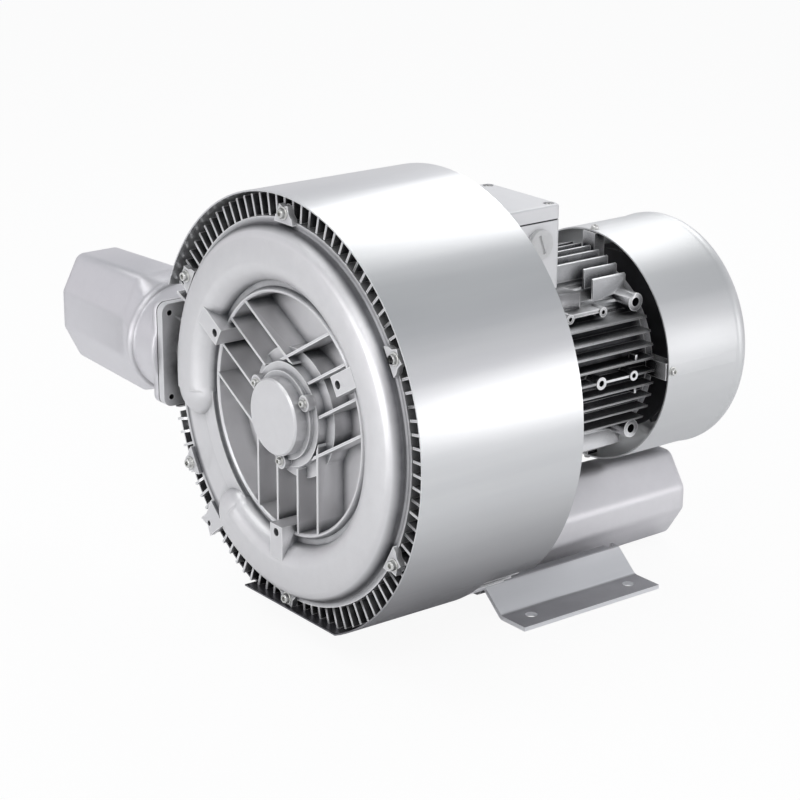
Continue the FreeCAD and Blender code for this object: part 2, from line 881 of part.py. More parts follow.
def silencer_shell(half, flat, taper, length, neck_r, plate_half, screw_half):
    """Cast silencer body pointing back, open at both ends, with its flange at Y = 0."""
    plate = rounded_plate(plate_half, silencer_flange)
    body_start = silencer_flange + neck_length + shoulder_length
    end = octagon(half, flat, 1.0, corner_r)
    root = octagon(half, flat, taper, corner_r)
    outer = Part.makeLoft([placed_wire(root, body_start), placed_wire(end, length)], True, True)
    inner_half = (half[0] - silencer_wall, half[1] - silencer_wall)
    inner_flat = (flat[0] - silencer_wall / 2, flat[1] - silencer_wall / 2)
    inner_corner = corner_r - silencer_wall
    cavity = Part.makeLoft([
        placed_wire(octagon(inner_half, inner_flat, taper, inner_corner), body_start),
        placed_wire(octagon(inner_half, inner_flat, 1.0, inner_corner), length - silencer_wall)],
        True, True)
    neck_end = silencer_flange + neck_length
    neck = rod(neck_r, 0, neck_end)
    bead_y = neck_end - bead_width
    bead = rod(neck_r + bead_height, bead_y, neck_end)
    bead = bead.makeFillet(bead_round, [e for e in bead.Edges if e.Length > neck_r])
    round_wire = Part.Wire(Part.makeCircle(neck_r, V(0, neck_end, 0), BACK))
    shoulder = round_to_octagon(neck_r, half, flat, taper, neck_end, body_start)
    cap_edges = [e for e in outer.Edges if all(abs(v.Y - length) < touch for v in e.Vertexes)]
    outer = outer.makeFillet(end_round, cap_edges)
    body = joined([plate, neck, bead, shoulder, outer])
    inner_neck = rod(neck_r - silencer_wall, flange_floor, neck_end + 1)
    body = body.cut(cavity).cut(inner_neck)
    core_r = min(neck_r - silencer_wall, half[0] - silencer_wall)
    body = body.cut(rod(core_r, neck_end, body_start + 1))
    body = joined([body, rod(thread_r + end_boss_wall, length - port_depth, length - 1)])
    body = body.cut(rod(port_bore_r, -1, flange_floor + 1))
    body = body.cut(rod(tube_r + tube_wall + running_gap, length - port_depth - 1,
                        length - port_depth + port_seat))
    for point in corner_points(screw_half, -1):
        body = body.cut(peg(m6_r, point, BACK, silencer_flange + 2))
    return body.cut(rod(thread_r, length - port_depth, length + 1))


def round_to_octagon(neck_r, half, flat, taper, y0, y1):
    """Shoulder that blends the round neck into the eight-sided body."""
    flat_half = neck_r * tan(radians(22.5))
    start = octagon((neck_r, neck_r), (flat_half, flat_half), 1.0, neck_r * shoulder_round)
    end = octagon(half, flat, taper, corner_r)
    return Part.makeLoft([placed_wire(start, y0), placed_wire(end, y1)], True, True)


def silencer_sleeve(length):
    """Perforated tube down the middle, from the flange's floor to the end boss."""
    y0 = flange_floor
    y1 = length - port_depth + port_seat
    sleeve = ring(tube_r + tube_wall, tube_r, y0, y1)
    rows = int((y1 - y0) / tube_hole_pitch) - 1
    holes = []
    for row in range(rows):
        for angle in (45.0 * (row % 2), 90.0 + 45.0 * (row % 2)):
            start = polar(tube_r * 2, angle + 180, y0 + (row + 1) * tube_hole_pitch)
            holes.append(peg(tube_hole_r, start, polar(1, angle), tube_r * 4))
    return sleeve.cut(holes)


def silencer_liner(half, flat, length):
    """Sound-absorbing foam round the tube."""
    start = silencer_flange + neck_length + shoulder_length
    gap = silencer_wall + liner_gap
    inner_half = (half[0] - gap, half[1] - gap)
    inner_flat = (flat[0] - gap / 2, flat[1] - gap / 2)
    wire = octagon(inner_half, inner_flat, 1.0, corner_r - gap + 2)
    foam = Part.Face(placed_wire(wire, start)).extrude(
        V(0, length - port_depth - start - liner_gap, 0))
    return foam.cut(rod(tube_r + tube_wall + liner_gap, 0, length))


def flange_screws(screw_half):
    return Part.makeCompound([screw(m6_r, point, BACK, silencer_flange + gasket + flange_thread)
                              for point in corner_points(screw_half, silencer_flange)])


# Feet

def foot(side):
    """Z-bent sheet foot: web under the casing, slope, and flange on the floor."""
    top = foot_web_z
    low = foot_flange_z
    bend = foot_bend
    lean = foot_sheet * tan(atan2(top - low, foot_toe_x - foot_crest_x + bend) / 2)

    def contour(offset):
        return [(foot_web_x, top - offset), (foot_crest_x - bend, top - offset),
                (foot_toe_x, low - offset), (foot_edge_x, low - offset)]

    upper = [V(x, 0, z) for x, z in contour(0)]
    lower = [V(x, 0, z) for x, z in contour(foot_sheet)]
    lower[1].x -= lean
    lower[2].x -= lean
    face = Part.Face(Part.makePolygon(upper + lower[::-1] + upper[:1]))
    body = face.extrude(V(0, foot_rear_y - foot_front_y, 0))
    body.translate(V(0, foot_front_y, 0))
    bends = [e for e in body.Edges if abs(e.Vertexes[0].Y - e.Vertexes[1].Y) > foot_edge_x
             and foot_web_x + 1 < e.Vertexes[0].X < foot_edge_x - 1]
    body = body.makeFillet(bend, bends)
    tongue = block(tongue_inner_x, foot_crest_x - bend - 1, tongue_front_y,
                   foot_front_y + tongue_overlap, top - foot_sheet, top)
    tongue = tongue.cut(block(0, foot_web_x, foot_front_y - 1, foot_front_y + tongue_overlap + 1,
                              top - foot_sheet - 1, top + 1))
    body = joined([body, tongue])
    for y in (-foot_spacing_y / 2, foot_spacing_y / 2):
        body = body.cut(peg(foot_hole_r, V(foot_spacing_x / 2, foot_setback + y, 0), DOWN,
                            axis_height + 1))
    for y in foot_screw_ys:
        body = body.cut(peg(m8_r + foot_screw_gap, V(foot_screw_x, y, 0), DOWN, axis_height))
    dip = peg(dip_r, V(foot_web_x + 2, foot_rear_y - dip_inset, 0), DOWN, axis_height - foot_sheet)
    body = body.cut(dip)
    if side < 0:
        body = body.mirror(V(0, 0, 0), RIGHT)
    return body


# Rotating parts

def ball_bearing(y0):
    """Outer ring, inner ring, cage and balls of one bearing whose front face is at y0."""
    y1 = y0 + bearing_width
    mid = (y0 + y1) / 2
    pitch_r = ball_pitch_d / 2
    ball_r = ball_d / 2
    groove = Part.makeTorus(pitch_r, ball_r + running_gap, V(0, mid, 0), BACK)
    outer = ring(bearing_r - race_fit, bearing_r - race_wall, y0, y1).cut(groove)
    inner = ring(bearing_bore_r + race_wall, bearing_bore_r, y0, y1).cut(groove)
    cage = ring(pitch_r + cage_half, pitch_r - cage_half, y0 + 2, y1 - 2)
    balls = []
    for angle in even(ball_count):
        centre = polar(pitch_r, angle, mid)
        pocket = peg(ball_r + running_gap, polar(pitch_r - ball_r, angle, mid), polar(1, angle),
                     ball_d)
        cage = cage.cut(pocket)
        ball = Part.makeSphere(ball_r)
        ball.translate(centre)
        balls.append(ball)
    return outer, inner, cage, Part.makeCompound(balls)


def shaft():
    seat = impeller_seat_r
    front_end = front_bearing_y + bearing_width
    steps = [(0, shaft_front_y), (bearing_bore_r - 1, shaft_front_y),
             (bearing_bore_r, shaft_front_y + 1), (bearing_bore_r, front_end),
             (seat, front_end), (seat, shoulder_y), (motor_seat_r, shoulder_y),
             (motor_seat_r, rear_bearing_y), (bearing_bore_r, rear_bearing_y),
             (bearing_bore_r, rear_bearing_y + bearing_width + 4),
             (fan_seat_r, rear_bearing_y + bearing_width + 4), (fan_seat_r, shaft_rear_y),
             (0, shaft_rear_y)]
    body = turned(steps)
    for y in (impeller_hub_y(first_face_y), impeller_hub_y(second_face_y)):
        body = body.cut(key_block(y, key_fit))
    return body


def impeller_hub_y(face_y):
    return face_y + hub_front


def key_block(hub_y0, clearance=0.0):
    y0 = hub_y0 + (hub_length - key_length) / 2
    base = impeller_seat_r - key_height / 2
    return block(-key_width / 2 - clearance, key_width / 2 + clearance, y0 - clearance,
                 y0 + key_length + clearance, base - clearance, base + key_height + clearance)


def impeller(face_y):
    """Disc with a double row of radial vane pockets in its rim."""
    y0 = face_y + side_gap
    y1 = y0 + rim_width
    hub0 = impeller_hub_y(face_y)
    body = joined([ring(impeller_r, rim_inner_r, y0, y1),
                   ring(rim_inner_r + 2, impeller_seat_r, hub0, hub0 + impeller_web),
                   ring(impeller_hub_r, impeller_seat_r, hub0, hub0 + hub_length)])
    outer = impeller_r - rim_wall
    inner = rim_inner_r + rim_wall
    slope = vane_slope
    depth = vane_bottom
    sweep = 360.0 / vane_count
    gap = degrees(vane_thickness / channel_mid_r)
    for face, sign in ((y0, 1), (y1, -1)):
        pocket = turned([(inner, face - sign), (outer, face - sign), (outer, face + sign * 6),
                         (outer - slope, face + sign * depth), (inner + slope, face + sign * depth),
                         (inner, face + sign * 6)], gap / 2, sweep - gap)
        body = body.cut(Part.makeCompound(around(pocket, even(vane_count))))
    return body.cut(key_block(hub0, key_fit))


def impeller_spacer():
    y0 = impeller_hub_y(first_face_y) + hub_length
    y1 = impeller_hub_y(second_face_y)
    return ring(spacer_r, impeller_seat_r, y0, y1)


def lock_sleeve():
    """Collar between the front bearing and the first impeller's hub."""
    return ring(impeller_seat_r + sleeve_wall, impeller_seat_r, front_bearing_y + bearing_width,
                impeller_hub_y(first_face_y))


def shaft_nut():
    """Grooved lock nut on the shaft's front end."""
    y0 = shaft_front_y + 2
    outer = bearing_bore_r + nut_wall
    nut = ring(outer, bearing_bore_r, y0, front_bearing_y)
    slot = block(outer - nut_slot_depth, outer + 1, y0 - 1, front_bearing_y + 1,
                 -nut_slot_width / 2, nut_slot_width / 2)
    return nut.cut(Part.makeCompound(around(slot, even(4))))


def rotor_core():
    y1 = stator_y + stator_length
    core = ring(rotor_r, motor_seat_r, stator_y, y1)
    outer = rotor_r - 1
    caps = [ring(outer, outer - end_ring_width, y, y + end_ring_height)
            for y in (stator_y - end_ring_height, y1)]
    return joined([core] + caps)


def stator_core():
    y0, y1 = stator_y, stator_y + stator_length
    core = ring(frame_bore_r, rotor_r + air_gap, y0, y1)
    slot = block(rotor_r, rotor_r + slot_depth, y0 - 1, y1 + 1, -slot_width / 2, slot_width / 2)
    return core.cut(Part.makeCompound(around(slot, even(slot_count))))


def stator_windings():
    y0, y1 = stator_y, stator_y + stator_length
    inner = rotor_r + 3
    outer = rotor_r + slot_depth - 2 * winding_gap
    half = slot_width / 2 - winding_gap
    heads = [ring(outer + winding_head, inner, y0 - winding_overhang, y0 - seat_gap),
             ring(outer + winding_head, inner, y1 + seat_gap, y1 + winding_overhang)]
    bar = block(inner, outer, y0 - 1, y1 + 1, -half, half)
    return joined(heads + around(bar, even(slot_count)))


def cooling_fan():
    y0, y1 = fan_y, fan_y + fan_width
    hub = ring(fan_hub_r, fan_seat_r, y0 - fan_disc, y1)
    disc = ring(fan_r - 4, fan_hub_r - 2, y0, y0 + fan_disc)
    blade = block(fan_hub_r - 2, fan_r, y0 + 2, y1, -fan_blade / 2, fan_blade / 2)
    blades = around(blade, even(fan_blades))
    return joined([hub, disc] + blades)


def fan_clip():
    y0 = fan_y + fan_width
    outer = fan_seat_r + clip_wall
    body = ring(outer, fan_seat_r, y0, y0 + 2)
    return body.cut(block(0, outer + 1, y0 - 1, y0 + 3, -clip_gap / 2, clip_gap / 2))


# Motor

def fin_row(count):
    return [(i - (count - 1) / 2) * motor_fin_pitch for i in range(count)]


def motor_fins():
    """Level fins at the sides and upright ones above and below, their tips on one circle."""
    half = motor_fin_thickness / 2
    tip = motor_fin_tip_r
    y0 = frame_front_y + frame_flange - 1
    y1 = frame_rear_y - motor_fin_gap
    fins = [block(-tip, tip, y0, y1, z - half, z + half) for z in fin_row(side_fin_count)]
    fins += [block(x - half, x + half, y0, y1, -tip, tip) for x in fin_row(upright_fin_count)]
    for side in (-1, 1):
        for z in (motor_fin_pitch, -motor_fin_pitch * 1.5):
            x = side * (tip - tie_inset)
            fins.append(block(x - tie_half, x + tie_half, tie_y - half, tie_y + half, z,
                              z + motor_fin_pitch / 2))
    body = joined(fins).common(rod(tip, y0, y1)).cut(rod(frame_r - wall, y0 - 1, y1 + 1))
    under_box = block(box_left_x - 2, box_right_x + 2, y0 - 1, box_rear_y + 2, saddle_root_z, tip)
    over_shelf = block(box_mid_x, tip, y0 - 1, shelf_rear_y, shelf_z - wall, tip).cut(
        block(0, pedestal_x - 2 * motor_fin_pitch, box_rear_y, shelf_rear_y + 1, 0, tip))
    return body.cut(under_box).cut(over_shelf)


def shelf():
    """Rail with two tapped eyes that stands out beside the terminal box's pedestal."""
    y0 = box_front_y + wall
    rail = block(pedestal_x - rail_root, shelf_x - 1, y0, shelf_rear_y, shelf_z - wall, shelf_z)
    eyes = [peg(wall + 1, V(pedestal_x, y, shelf_z - wall), RIGHT, shelf_x - pedestal_x)
            for y in shelf_hole_ys]
    pedestal = block(box_mid_x - saddle_half, pedestal_x, y0, pedestal_rear_y, pedestal_root_z,
                     pedestal_top_z)
    return [rail, pedestal] + eyes


def side_bosses(grow=0.0):
    """Short tubes facing sideways: two large ones low and high, two small ones between."""
    places = [(foot_boss_x, foot_boss_y, z, foot_boss_r) for z in (foot_boss_z, -foot_boss_z)]
    places += [(motor_fin_tip_r + 1, y, 0, r) for y, r in zip(small_boss_ys, small_boss_rs)]
    pegs = []
    for x, y, z, radius in places:
        depth = x - sqrt(frame_r ** 2 - z ** 2) + wall
        for side in (LEFT, RIGHT):
            start = V(side.x * (x + grow), y, z)
            pegs.append(peg(radius * (side_boss_bore if grow else 1), start, -side,
                            depth - grow * side_boss_floor))
    return pegs


def motor_frame():
    y1 = frame_rear_y
    shell = joined([rod(frame_r, frame_front_y + 2, y1),
                    rod(frame_flange_r, frame_front_y, frame_front_y + frame_flange)])
    spigot = rod(frame_bore_r + spigot_wall - spigot_gap, frame_front_y - spigot_depth,
                 frame_front_y + 1)
    saddle = block(box_mid_x - saddle_half, box_mid_x + saddle_half, box_front_y + wall,
                   box_rear_y - wall, saddle_root_z, box_bottom_z)
    body = joined([shell, spigot, saddle, motor_fins()] + shelf() + side_bosses())
    body = body.cut(rod(frame_bore_r, frame_front_y - spigot_depth - 1, y1 + 1))
    holes = [peg(wire_hole_r, V(box_mid_x, box_mid_y, frame_bore_r / 2), UP, frame_bore_r)]
    holes += side_bosses(1.0)
    holes += [peg(m5_r, V(shelf_x + 1, y, shelf_z - wall), LEFT, shelf_hole_depth)
              for y in shelf_hole_ys]
    for angle in even(4, 45):
        holes.append(peg(m8_r, polar(flange_bolt_r, angle, frame_front_y - 1), BACK,
                         frame_flange + 2))
        holes.append(peg(flange_spot_r, polar(flange_bolt_r, angle, frame_front_y + frame_flange),
                         BACK, flange_spot_depth))
        holes.append(peg(m6_r, polar(shield_bolt_r, angle, y1 + 1), FRONT, shield_thread_depth))
    return body.cut(holes)


def rear_shield():
    y0 = frame_rear_y
    y1 = y0 + shield_thickness
    boss0 = rear_bearing_y
    boss1 = rear_bearing_y + bearing_width + 2
    housing_r = bearing_r + housing_wall
    body = joined([rod(frame_r, y0, y1), rod(frame_bore_r - running_gap, y0 - shield_spigot, y0 + 1),
                   rod(housing_r, boss0, boss1 + 2)])
    body = body.cut(rod(bearing_r, boss0 - 1, boss0 + bearing_width))
    body = body.cut(ring(frame_bore_r - shield_rim, housing_r - spigot_gap, y0 - shield_spigot - 1,
                         y0 + 2))
    body = body.cut(rod(bearing_bore_r + 3, boss0, boss1 + 3))
    tab = block(frame_r - wall, cowl_r, y0, y0 + tab_length, -tab_half, tab_half).common(
        rod(cowl_r - cowl_sheet - seat_gap, y0, y0 + tab_length))
    body = joined([body] + around(tab, even(4)))
    for angle in even(4):
        body = body.cut(peg(m6_r, polar(cowl_r, angle, cowl_screw_y), polar(-1, angle),
                            cowl_screw_length + 4))
    for angle in even(4, 45):
        body = body.cut(peg(m6_r, polar(shield_bolt_r, angle, y0 - 1), BACK, tapped_depth))
    return body


def fan_cowl():
    """Deep-drawn cowl with concentric air slots in its end."""
    r, s = cowl_r, cowl_sheet
    face_r = cowl_end_r - cowl_face_inset
    round_y = cowl_end_y - cowl_round
    mid_r = cowl_end_r + cowl_shoulder[0]
    mid_y = cowl_end_y - cowl_shoulder[1]
    step = s * cos(radians(45))
    outer = [V(0, cowl_end_y, 0), V(face_r, cowl_end_y, 0), V(mid_r, mid_y, 0),
             V(r, round_y, 0), V(r, cowl_y, 0)]
    inner = [V(r - s, cowl_y, 0), V(r - s, round_y, 0), V(mid_r - step, mid_y - step, 0),
             V(face_r, cowl_end_y - s, 0), V(0, cowl_end_y - s, 0)]
    edges = [Part.LineSegment(outer[0], outer[1]).toShape(),
             Part.Arc(outer[1], outer[2], outer[3]).toShape(),
             Part.LineSegment(outer[3], outer[4]).toShape(),
             Part.LineSegment(outer[4], inner[0]).toShape(),
             Part.LineSegment(inner[0], inner[1]).toShape(),
             Part.Arc(inner[1], inner[2], inner[3]).toShape(),
             Part.LineSegment(inner[3], inner[4]).toShape(),
             Part.LineSegment(inner[4], outer[0]).toShape()]
    body = spun(Part.Face(Part.Wire(edges)))
    y0, y1 = cowl_end_y - 2 * s, cowl_end_y + 1
    slots = [ring(m + grille_slot / 2, m - grille_slot / 2, y0, y1) for m in grille_rings]
    spokes = joined([at_angle(block(-r, r, y0 - 1, y1 + 1, -spoke_width / 2, spoke_width / 2), a)
                     for a in spoke_angles()])
    for slot in slots:
        body = body.cut(slot.cut(spokes))
    for angle in even(4):
        body = body.cut(peg(m6_r, polar(cowl_r + 2, angle, cowl_screw_y), polar(-1, angle),
                            cowl_screw_length))
    return body


def spoke_angles():
    """Each bar runs right across the grille, so it makes two spokes."""
    return [360.0 / grille_spokes * i for i in range(grille_spokes // 2)]


# Terminal box

def box_body():
    x0, x1 = box_left_x, box_right_x
    outer = block(x0, x1, box_front_y, box_rear_y, box_bottom_z, box_split_z)
    outer = outer.makeFillet(box_corner, upright_edges(outer))
    w = box_wall
    inner = block(x0 + w, x1 - w, box_front_y + w, box_rear_y - w, box_bottom_z + w, box_top_z)
    body = outer.cut(inner)
    posts = [peg(lid_post_r, V(x, y, box_bottom_z), UP, box_split_z - box_bottom_z)
             for x, y in lid_screw_places()]
    body = joined([body] + posts)
    body = body.cut(peg(wire_hole_r - 1, V(box_mid_x, box_mid_y, box_bottom_z - 1), UP, w + 2))
    for x, y in lid_screw_places():
        body = body.cut(peg(m5_r, V(x, y, box_split_z + 1), DOWN, lid_thread_depth))
    return body.cut(peg(plug_bore_r, V(box_mid_x, plug_y, plug_z), RIGHT, box_width))


def upright_edges(shape):
    return [e for e in shape.Edges if abs(e.Vertexes[0].Z - e.Vertexes[-1].Z) > 1]


def lid_screw_places():
    inset = lid_screw_inset
    return [(x, y) for x in (box_left_x + inset, box_right_x - inset)
            for y in (box_front_y + inset, box_rear_y - inset)]


def box_lid():
    z0 = box_split_z + gasket
    lid = block(box_left_x, box_right_x, box_front_y, box_rear_y, z0, box_top_z)
    lid = lid.makeFillet(box_corner, upright_edges(lid))
    lid = lid.makeFillet(lid_round, [e for e in lid.Edges if all(
        abs(v.Z - box_top_z) < touch for v in e.Vertexes)])
    lid = lid.cut(lid_hollow(box_wall, z0 - 1, box_top_z - box_wall))
    for x, y in lid_screw_places():
        lid = lid.cut(peg(m6_r, V(x, y, z0 - 1), UP, box_top_z - z0 + 2))
        lid = lid.cut(peg(lid_spot_r, V(x, y, box_top_z - lid_spot_depth), UP, lid_spot_depth + 1))
    return lid


def lid_hollow(inset, z0, z1):
    """Room inside the lid, between the ledges that carry its screws."""
    return block(box_left_x + inset, box_right_x - inset, box_front_y + lid_ledge,
                 box_rear_y - lid_ledge, z0, z1)


def lid_gasket():
    z0, z1 = box_split_z, box_split_z + gasket
    sheet = block(box_left_x + 1, box_right_x - 1, box_front_y + 1, box_rear_y - 1, z0, z1)
    sheet = sheet.makeFillet(box_corner - 1, upright_edges(sheet))
    sheet = sheet.cut(lid_hollow(2 * box_wall, z0 - 1, z1 + 1))
    for x, y in lid_screw_places():
        sheet = sheet.cut(peg(m6_r, V(x, y, z0 - 1), UP, gasket + 2))
    return sheet


def terminal_block():
    mid_y = box_mid_y + terminal_setback
    base_z = box_bottom_z + box_wall
    top_z = base_z + terminal_height
    half_x, half_y = terminal_half
    bar_width, bar_length, bar_height = terminal_bar
    xs = [box_mid_x + terminal_pitch * i for i in (-1, 0, 1)]
    body = block(box_mid_x - half_x, box_mid_x + half_x, mid_y - half_y, mid_y + half_y, base_z,
                 top_z)
    studs = [peg(stud_r, V(x, mid_y + y, top_z - 1), UP, stud_height)
             for x in xs for y in (-stud_y, stud_y)]
    bars = [block(x - bar_width / 2, x + bar_width / 2, mid_y - bar_length / 2,
                  mid_y + bar_length / 2, top_z - 1, top_z + bar_height - 1) for x in xs]
    return joined([body] + studs + bars)


def cable_plug():
    """Round blanking plug with a screwdriver slot, in the box's right side."""
    x = box_right_x
    face_x = x + plug_head
    head = peg(plug_r, V(x, plug_y, plug_z), RIGHT, plug_head)
    head = head.makeFillet(plug_round, [e for e in head.Edges if len(e.Vertexes) == 1
                                        and abs(e.CenterOfMass.x - face_x) < touch])
    stem = peg(plug_bore_r - spigot_gap, V(x + 1, plug_y, plug_z), LEFT, plug_stem)
    slot = block(face_x - 2, face_x + 1, plug_y - plug_slot_width / 2, plug_y + plug_slot_width / 2,
                 plug_z - plug_slot_length / 2, plug_z + plug_slot_length / 2)
    slot.rotate(V(x, plug_y, plug_z), RIGHT, plug_turn)
    return head.cut(slot).fuse(stem)


# Sealing

def shaft_seal():
    y1 = frame_front_y - 1
    y0 = y1 - seal_width
    body = ring(seal_r, motor_seat_r + gasket, y0, y1)
    lip = ring(motor_seat_r + 2, motor_seat_r + running_gap, y0 + 2, y0 + 4)
    return joined([body, lip])


def port_gasket(plate_half, screw_half):
    """Flat gasket that ends at Y = 0, where the silencer's flange starts."""
    sheet = rounded_plate(plate_half, gasket).cut(rod(port_bore_r, -1, gasket + 1))
    for point in corner_points(screw_half, -1):
        sheet = sheet.cut(peg(m6_r, point, BACK, gasket + 2))
    return sheet.translated(BACK * -gasket)


# Fastener groups

def cover_screws():
    return Part.makeCompound([screw(m8_r, polar(cover_screw_r(a), a, ear_front_y), FRONT,
                                    cover_screw_length)
                              for a in screw_angles])


def joint_bolts():
    """Bolts that clamp the rear housing to the front one."""
    seat = rear_wall_y - wall
    length = seat - second_face_y + joint_thread_depth - 4
    return Part.makeCompound([screw(m8_r, joint_bolt_place(a, seat), BACK, length, joint_head_ratio)
                              for a in screw_angles])


def cap_screws():
    length = cap_flange + cap_ear_raise + cap_screw_depth - 2
    return Part.makeCompound([screw(m6_r, polar(cap_screw_r, a, cap_seat_y()), FRONT, length)
                              for a in boss_angles])


def shroud_screws():
    return Part.makeCompound([screw(m6_r, seat, outward, short_screw_length)
                              for seat, outward in shroud_hole_points()])


def foot_screws():
    seat = foot_web_z - foot_sheet
    return Part.makeCompound([screw(m8_r, V(side * foot_screw_x, y, seat), DOWN,
                                    short_screw_length)
                              for side in (-1, 1) for y in foot_screw_ys])


def flange_bolts():
    y = frame_front_y + frame_flange
    return Part.makeCompound([screw(m8_r, polar(flange_bolt_r, a, y), BACK, flange_bolt_length)
                              for a in even(4, 45)])


def shield_bolts():
    y = frame_rear_y + shield_thickness
    length = shield_thickness + shield_thread_depth - 3
    return Part.makeCompound([screw(m6_r, polar(shield_bolt_r, a, y), BACK, length,
                                    shield_head_ratio)
                              for a in even(4, 45)])


def cowl_screws():
    return Part.makeCompound([screw(m6_r, polar(cowl_r, a, cowl_screw_y), polar(1, a),
                                    cowl_screw_length)
                              for a in even(4)])


def lid_screws():
    return Part.makeCompound([screw(m5_r, V(x, y, box_top_z - lid_spot_depth), UP,
                                    lid_screw_length)
                              for x, y in lid_screw_places()])


# Build every piece

os.makedirs("parts", exist_ok=True)

save("front_cover", front_cover())
save("front_housing", front_housing())
save("rear_housing", rear_housing())
save("shroud", shroud())
save("bearing_cap", bearing_cap())
save("cover_screws", cover_screws())
save("joint_bolts", joint_bolts())
save("bearing_cap_screws", cap_screws())
save("shroud_screws", shroud_screws())
save("left_foot", foot(-1))
save("right_foot", foot(1))
save("foot_screws", foot_screws())
save("shaft_seal", shaft_seal())

save("inlet_silencer", as_inlet(silencer_shell(
    inlet_half, inlet_flat, inlet_taper, inlet_length, inlet_neck_r, inlet_plate_half,
    inlet_screw_half)))
save("inlet_liner", as_inlet(silencer_liner(inlet_half, inlet_flat, inlet_length)))
save("inlet_tube", as_inlet(silencer_sleeve(inlet_length)))
save("inlet_gasket", as_inlet(port_gasket(inlet_plate_half, inlet_screw_half)))
save("inlet_screws", as_inlet(flange_screws(inlet_screw_half)))
save("outlet_silencer", as_outlet(silencer_shell(
    outlet_half, outlet_flat, outlet_taper, outlet_length, outlet_neck_r, outlet_plate_half,
    outlet_screw_half)))
save("outlet_liner", as_outlet(silencer_liner(outlet_half, outlet_flat, outlet_length)))
save("outlet_tube", as_outlet(silencer_sleeve(outlet_length)))
save("outlet_gasket", as_outlet(port_gasket(outlet_plate_half, outlet_screw_half)))
save("outlet_screws", as_outlet(flange_screws(outlet_screw_half)))

save("shaft", shaft())
save("front_impeller", impeller(first_face_y))
save("rear_impeller", impeller(second_face_y))
save("impeller_spacer", impeller_spacer())
save("locating_collar", lock_sleeve())
save("shaft_nut", shaft_nut())
save("impeller_keys", Part.makeCompound([key_block(impeller_hub_y(y))
                                         for y in (first_face_y, second_face_y)]))
for place, y in (("front", front_bearing_y), ("rear", rear_bearing_y)):
    outer_race, inner_race, cage, balls = ball_bearing(y)
    save(place + "_bearing_outer_ring", outer_race)
    save(place + "_bearing_inner_ring", inner_race)
    save(place + "_bearing_cage", cage)
    save(place + "_bearing_balls", balls)
save("rotor_core", rotor_core())
save("cooling_fan", cooling_fan())
save("fan_clip", fan_clip())

save("motor_frame", motor_frame())
save("stator_core", stator_core())
save("stator_windings", stator_windings())
save("motor_flange_bolts", flange_bolts())
save("rear_shield", rear_shield())
save("rear_shield_bolts", shield_bolts())
save("fan_cowl", fan_cowl())
save("cowl_screws", cowl_screws())
save("terminal_box", box_body())
save("terminal_lid", box_lid())
save("lid_gasket", lid_gasket())
save("lid_screws", lid_screws())
save("terminal_block", terminal_block())
save("cable_plug", cable_plug())
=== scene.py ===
import json
import math

import bmesh
import bpy
from mathutils import Matrix, Vector

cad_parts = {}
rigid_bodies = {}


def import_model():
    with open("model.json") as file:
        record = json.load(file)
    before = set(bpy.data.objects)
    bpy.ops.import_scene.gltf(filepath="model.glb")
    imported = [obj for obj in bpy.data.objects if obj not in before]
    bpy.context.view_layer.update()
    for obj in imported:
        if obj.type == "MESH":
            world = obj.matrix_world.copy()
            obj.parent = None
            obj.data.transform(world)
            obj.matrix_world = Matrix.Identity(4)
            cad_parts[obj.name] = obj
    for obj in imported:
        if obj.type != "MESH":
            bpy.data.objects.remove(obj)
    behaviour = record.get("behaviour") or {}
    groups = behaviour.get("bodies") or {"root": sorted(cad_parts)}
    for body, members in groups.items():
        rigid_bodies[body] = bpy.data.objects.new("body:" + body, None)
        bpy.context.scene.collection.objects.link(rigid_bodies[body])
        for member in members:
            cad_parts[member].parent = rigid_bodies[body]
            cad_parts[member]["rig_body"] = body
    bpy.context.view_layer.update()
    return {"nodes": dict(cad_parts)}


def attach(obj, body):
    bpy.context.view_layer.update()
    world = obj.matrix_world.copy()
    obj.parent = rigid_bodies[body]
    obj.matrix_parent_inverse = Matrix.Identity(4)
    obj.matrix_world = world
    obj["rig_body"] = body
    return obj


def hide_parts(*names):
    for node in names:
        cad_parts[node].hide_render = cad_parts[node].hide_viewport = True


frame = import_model()

# Two-stage side channel blower. Metres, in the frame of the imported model: the shaft lies along Y,
# AXIS_Z above the ground, and the shroud's front edge is SETBACK in front of the origin.
AXIS_Z = 0.229
SETBACK = 0.286
MILLIMETRES = 1000.0
FULL_TURN = 6.283


def at(x, y, z):
    """A point given in millimetres from the shaft and the shroud's front edge."""
    return Vector((x / MILLIMETRES, y / MILLIMETRES - SETBACK, z / MILLIMETRES + AXIS_Z))


def polar(radius, angle, y):
    """A point on a circle round the shaft, at an angle in degrees from +X towards +Z."""
    a = math.radians(angle)
    return at(radius * math.cos(a), y, radius * math.sin(a))


def in_scene(name, data):
    """A new object that holds the data, linked to the scene."""
    made = bpy.data.objects.new(name, data)
    bpy.context.scene.collection.objects.link(made)
    return made


# Node tree helpers

FLOAT, VECTOR, COLOUR = "NodeSocketFloat", "NodeSocketVector", "NodeSocketColor"
MIX_UNDER, MIX_OVER, MIX_RESULT = 6, 7, 2
SPOT_CONTRAST = ((0.3, 0.0), (0.7, 1.0))


def node(tree, kind, **values):
    made = tree.nodes.new(kind)
    for key, value in values.items():
        setattr(made, key, value)
    return made


def link(tree, a, b):
    tree.links.new(a, b)


def put(tree, socket, value):
    """Links an output to the socket, or sets the socket to a plain value."""
    if isinstance(value, bpy.types.NodeSocket):
        link(tree, value, socket)
    else:
        socket.default_value = value


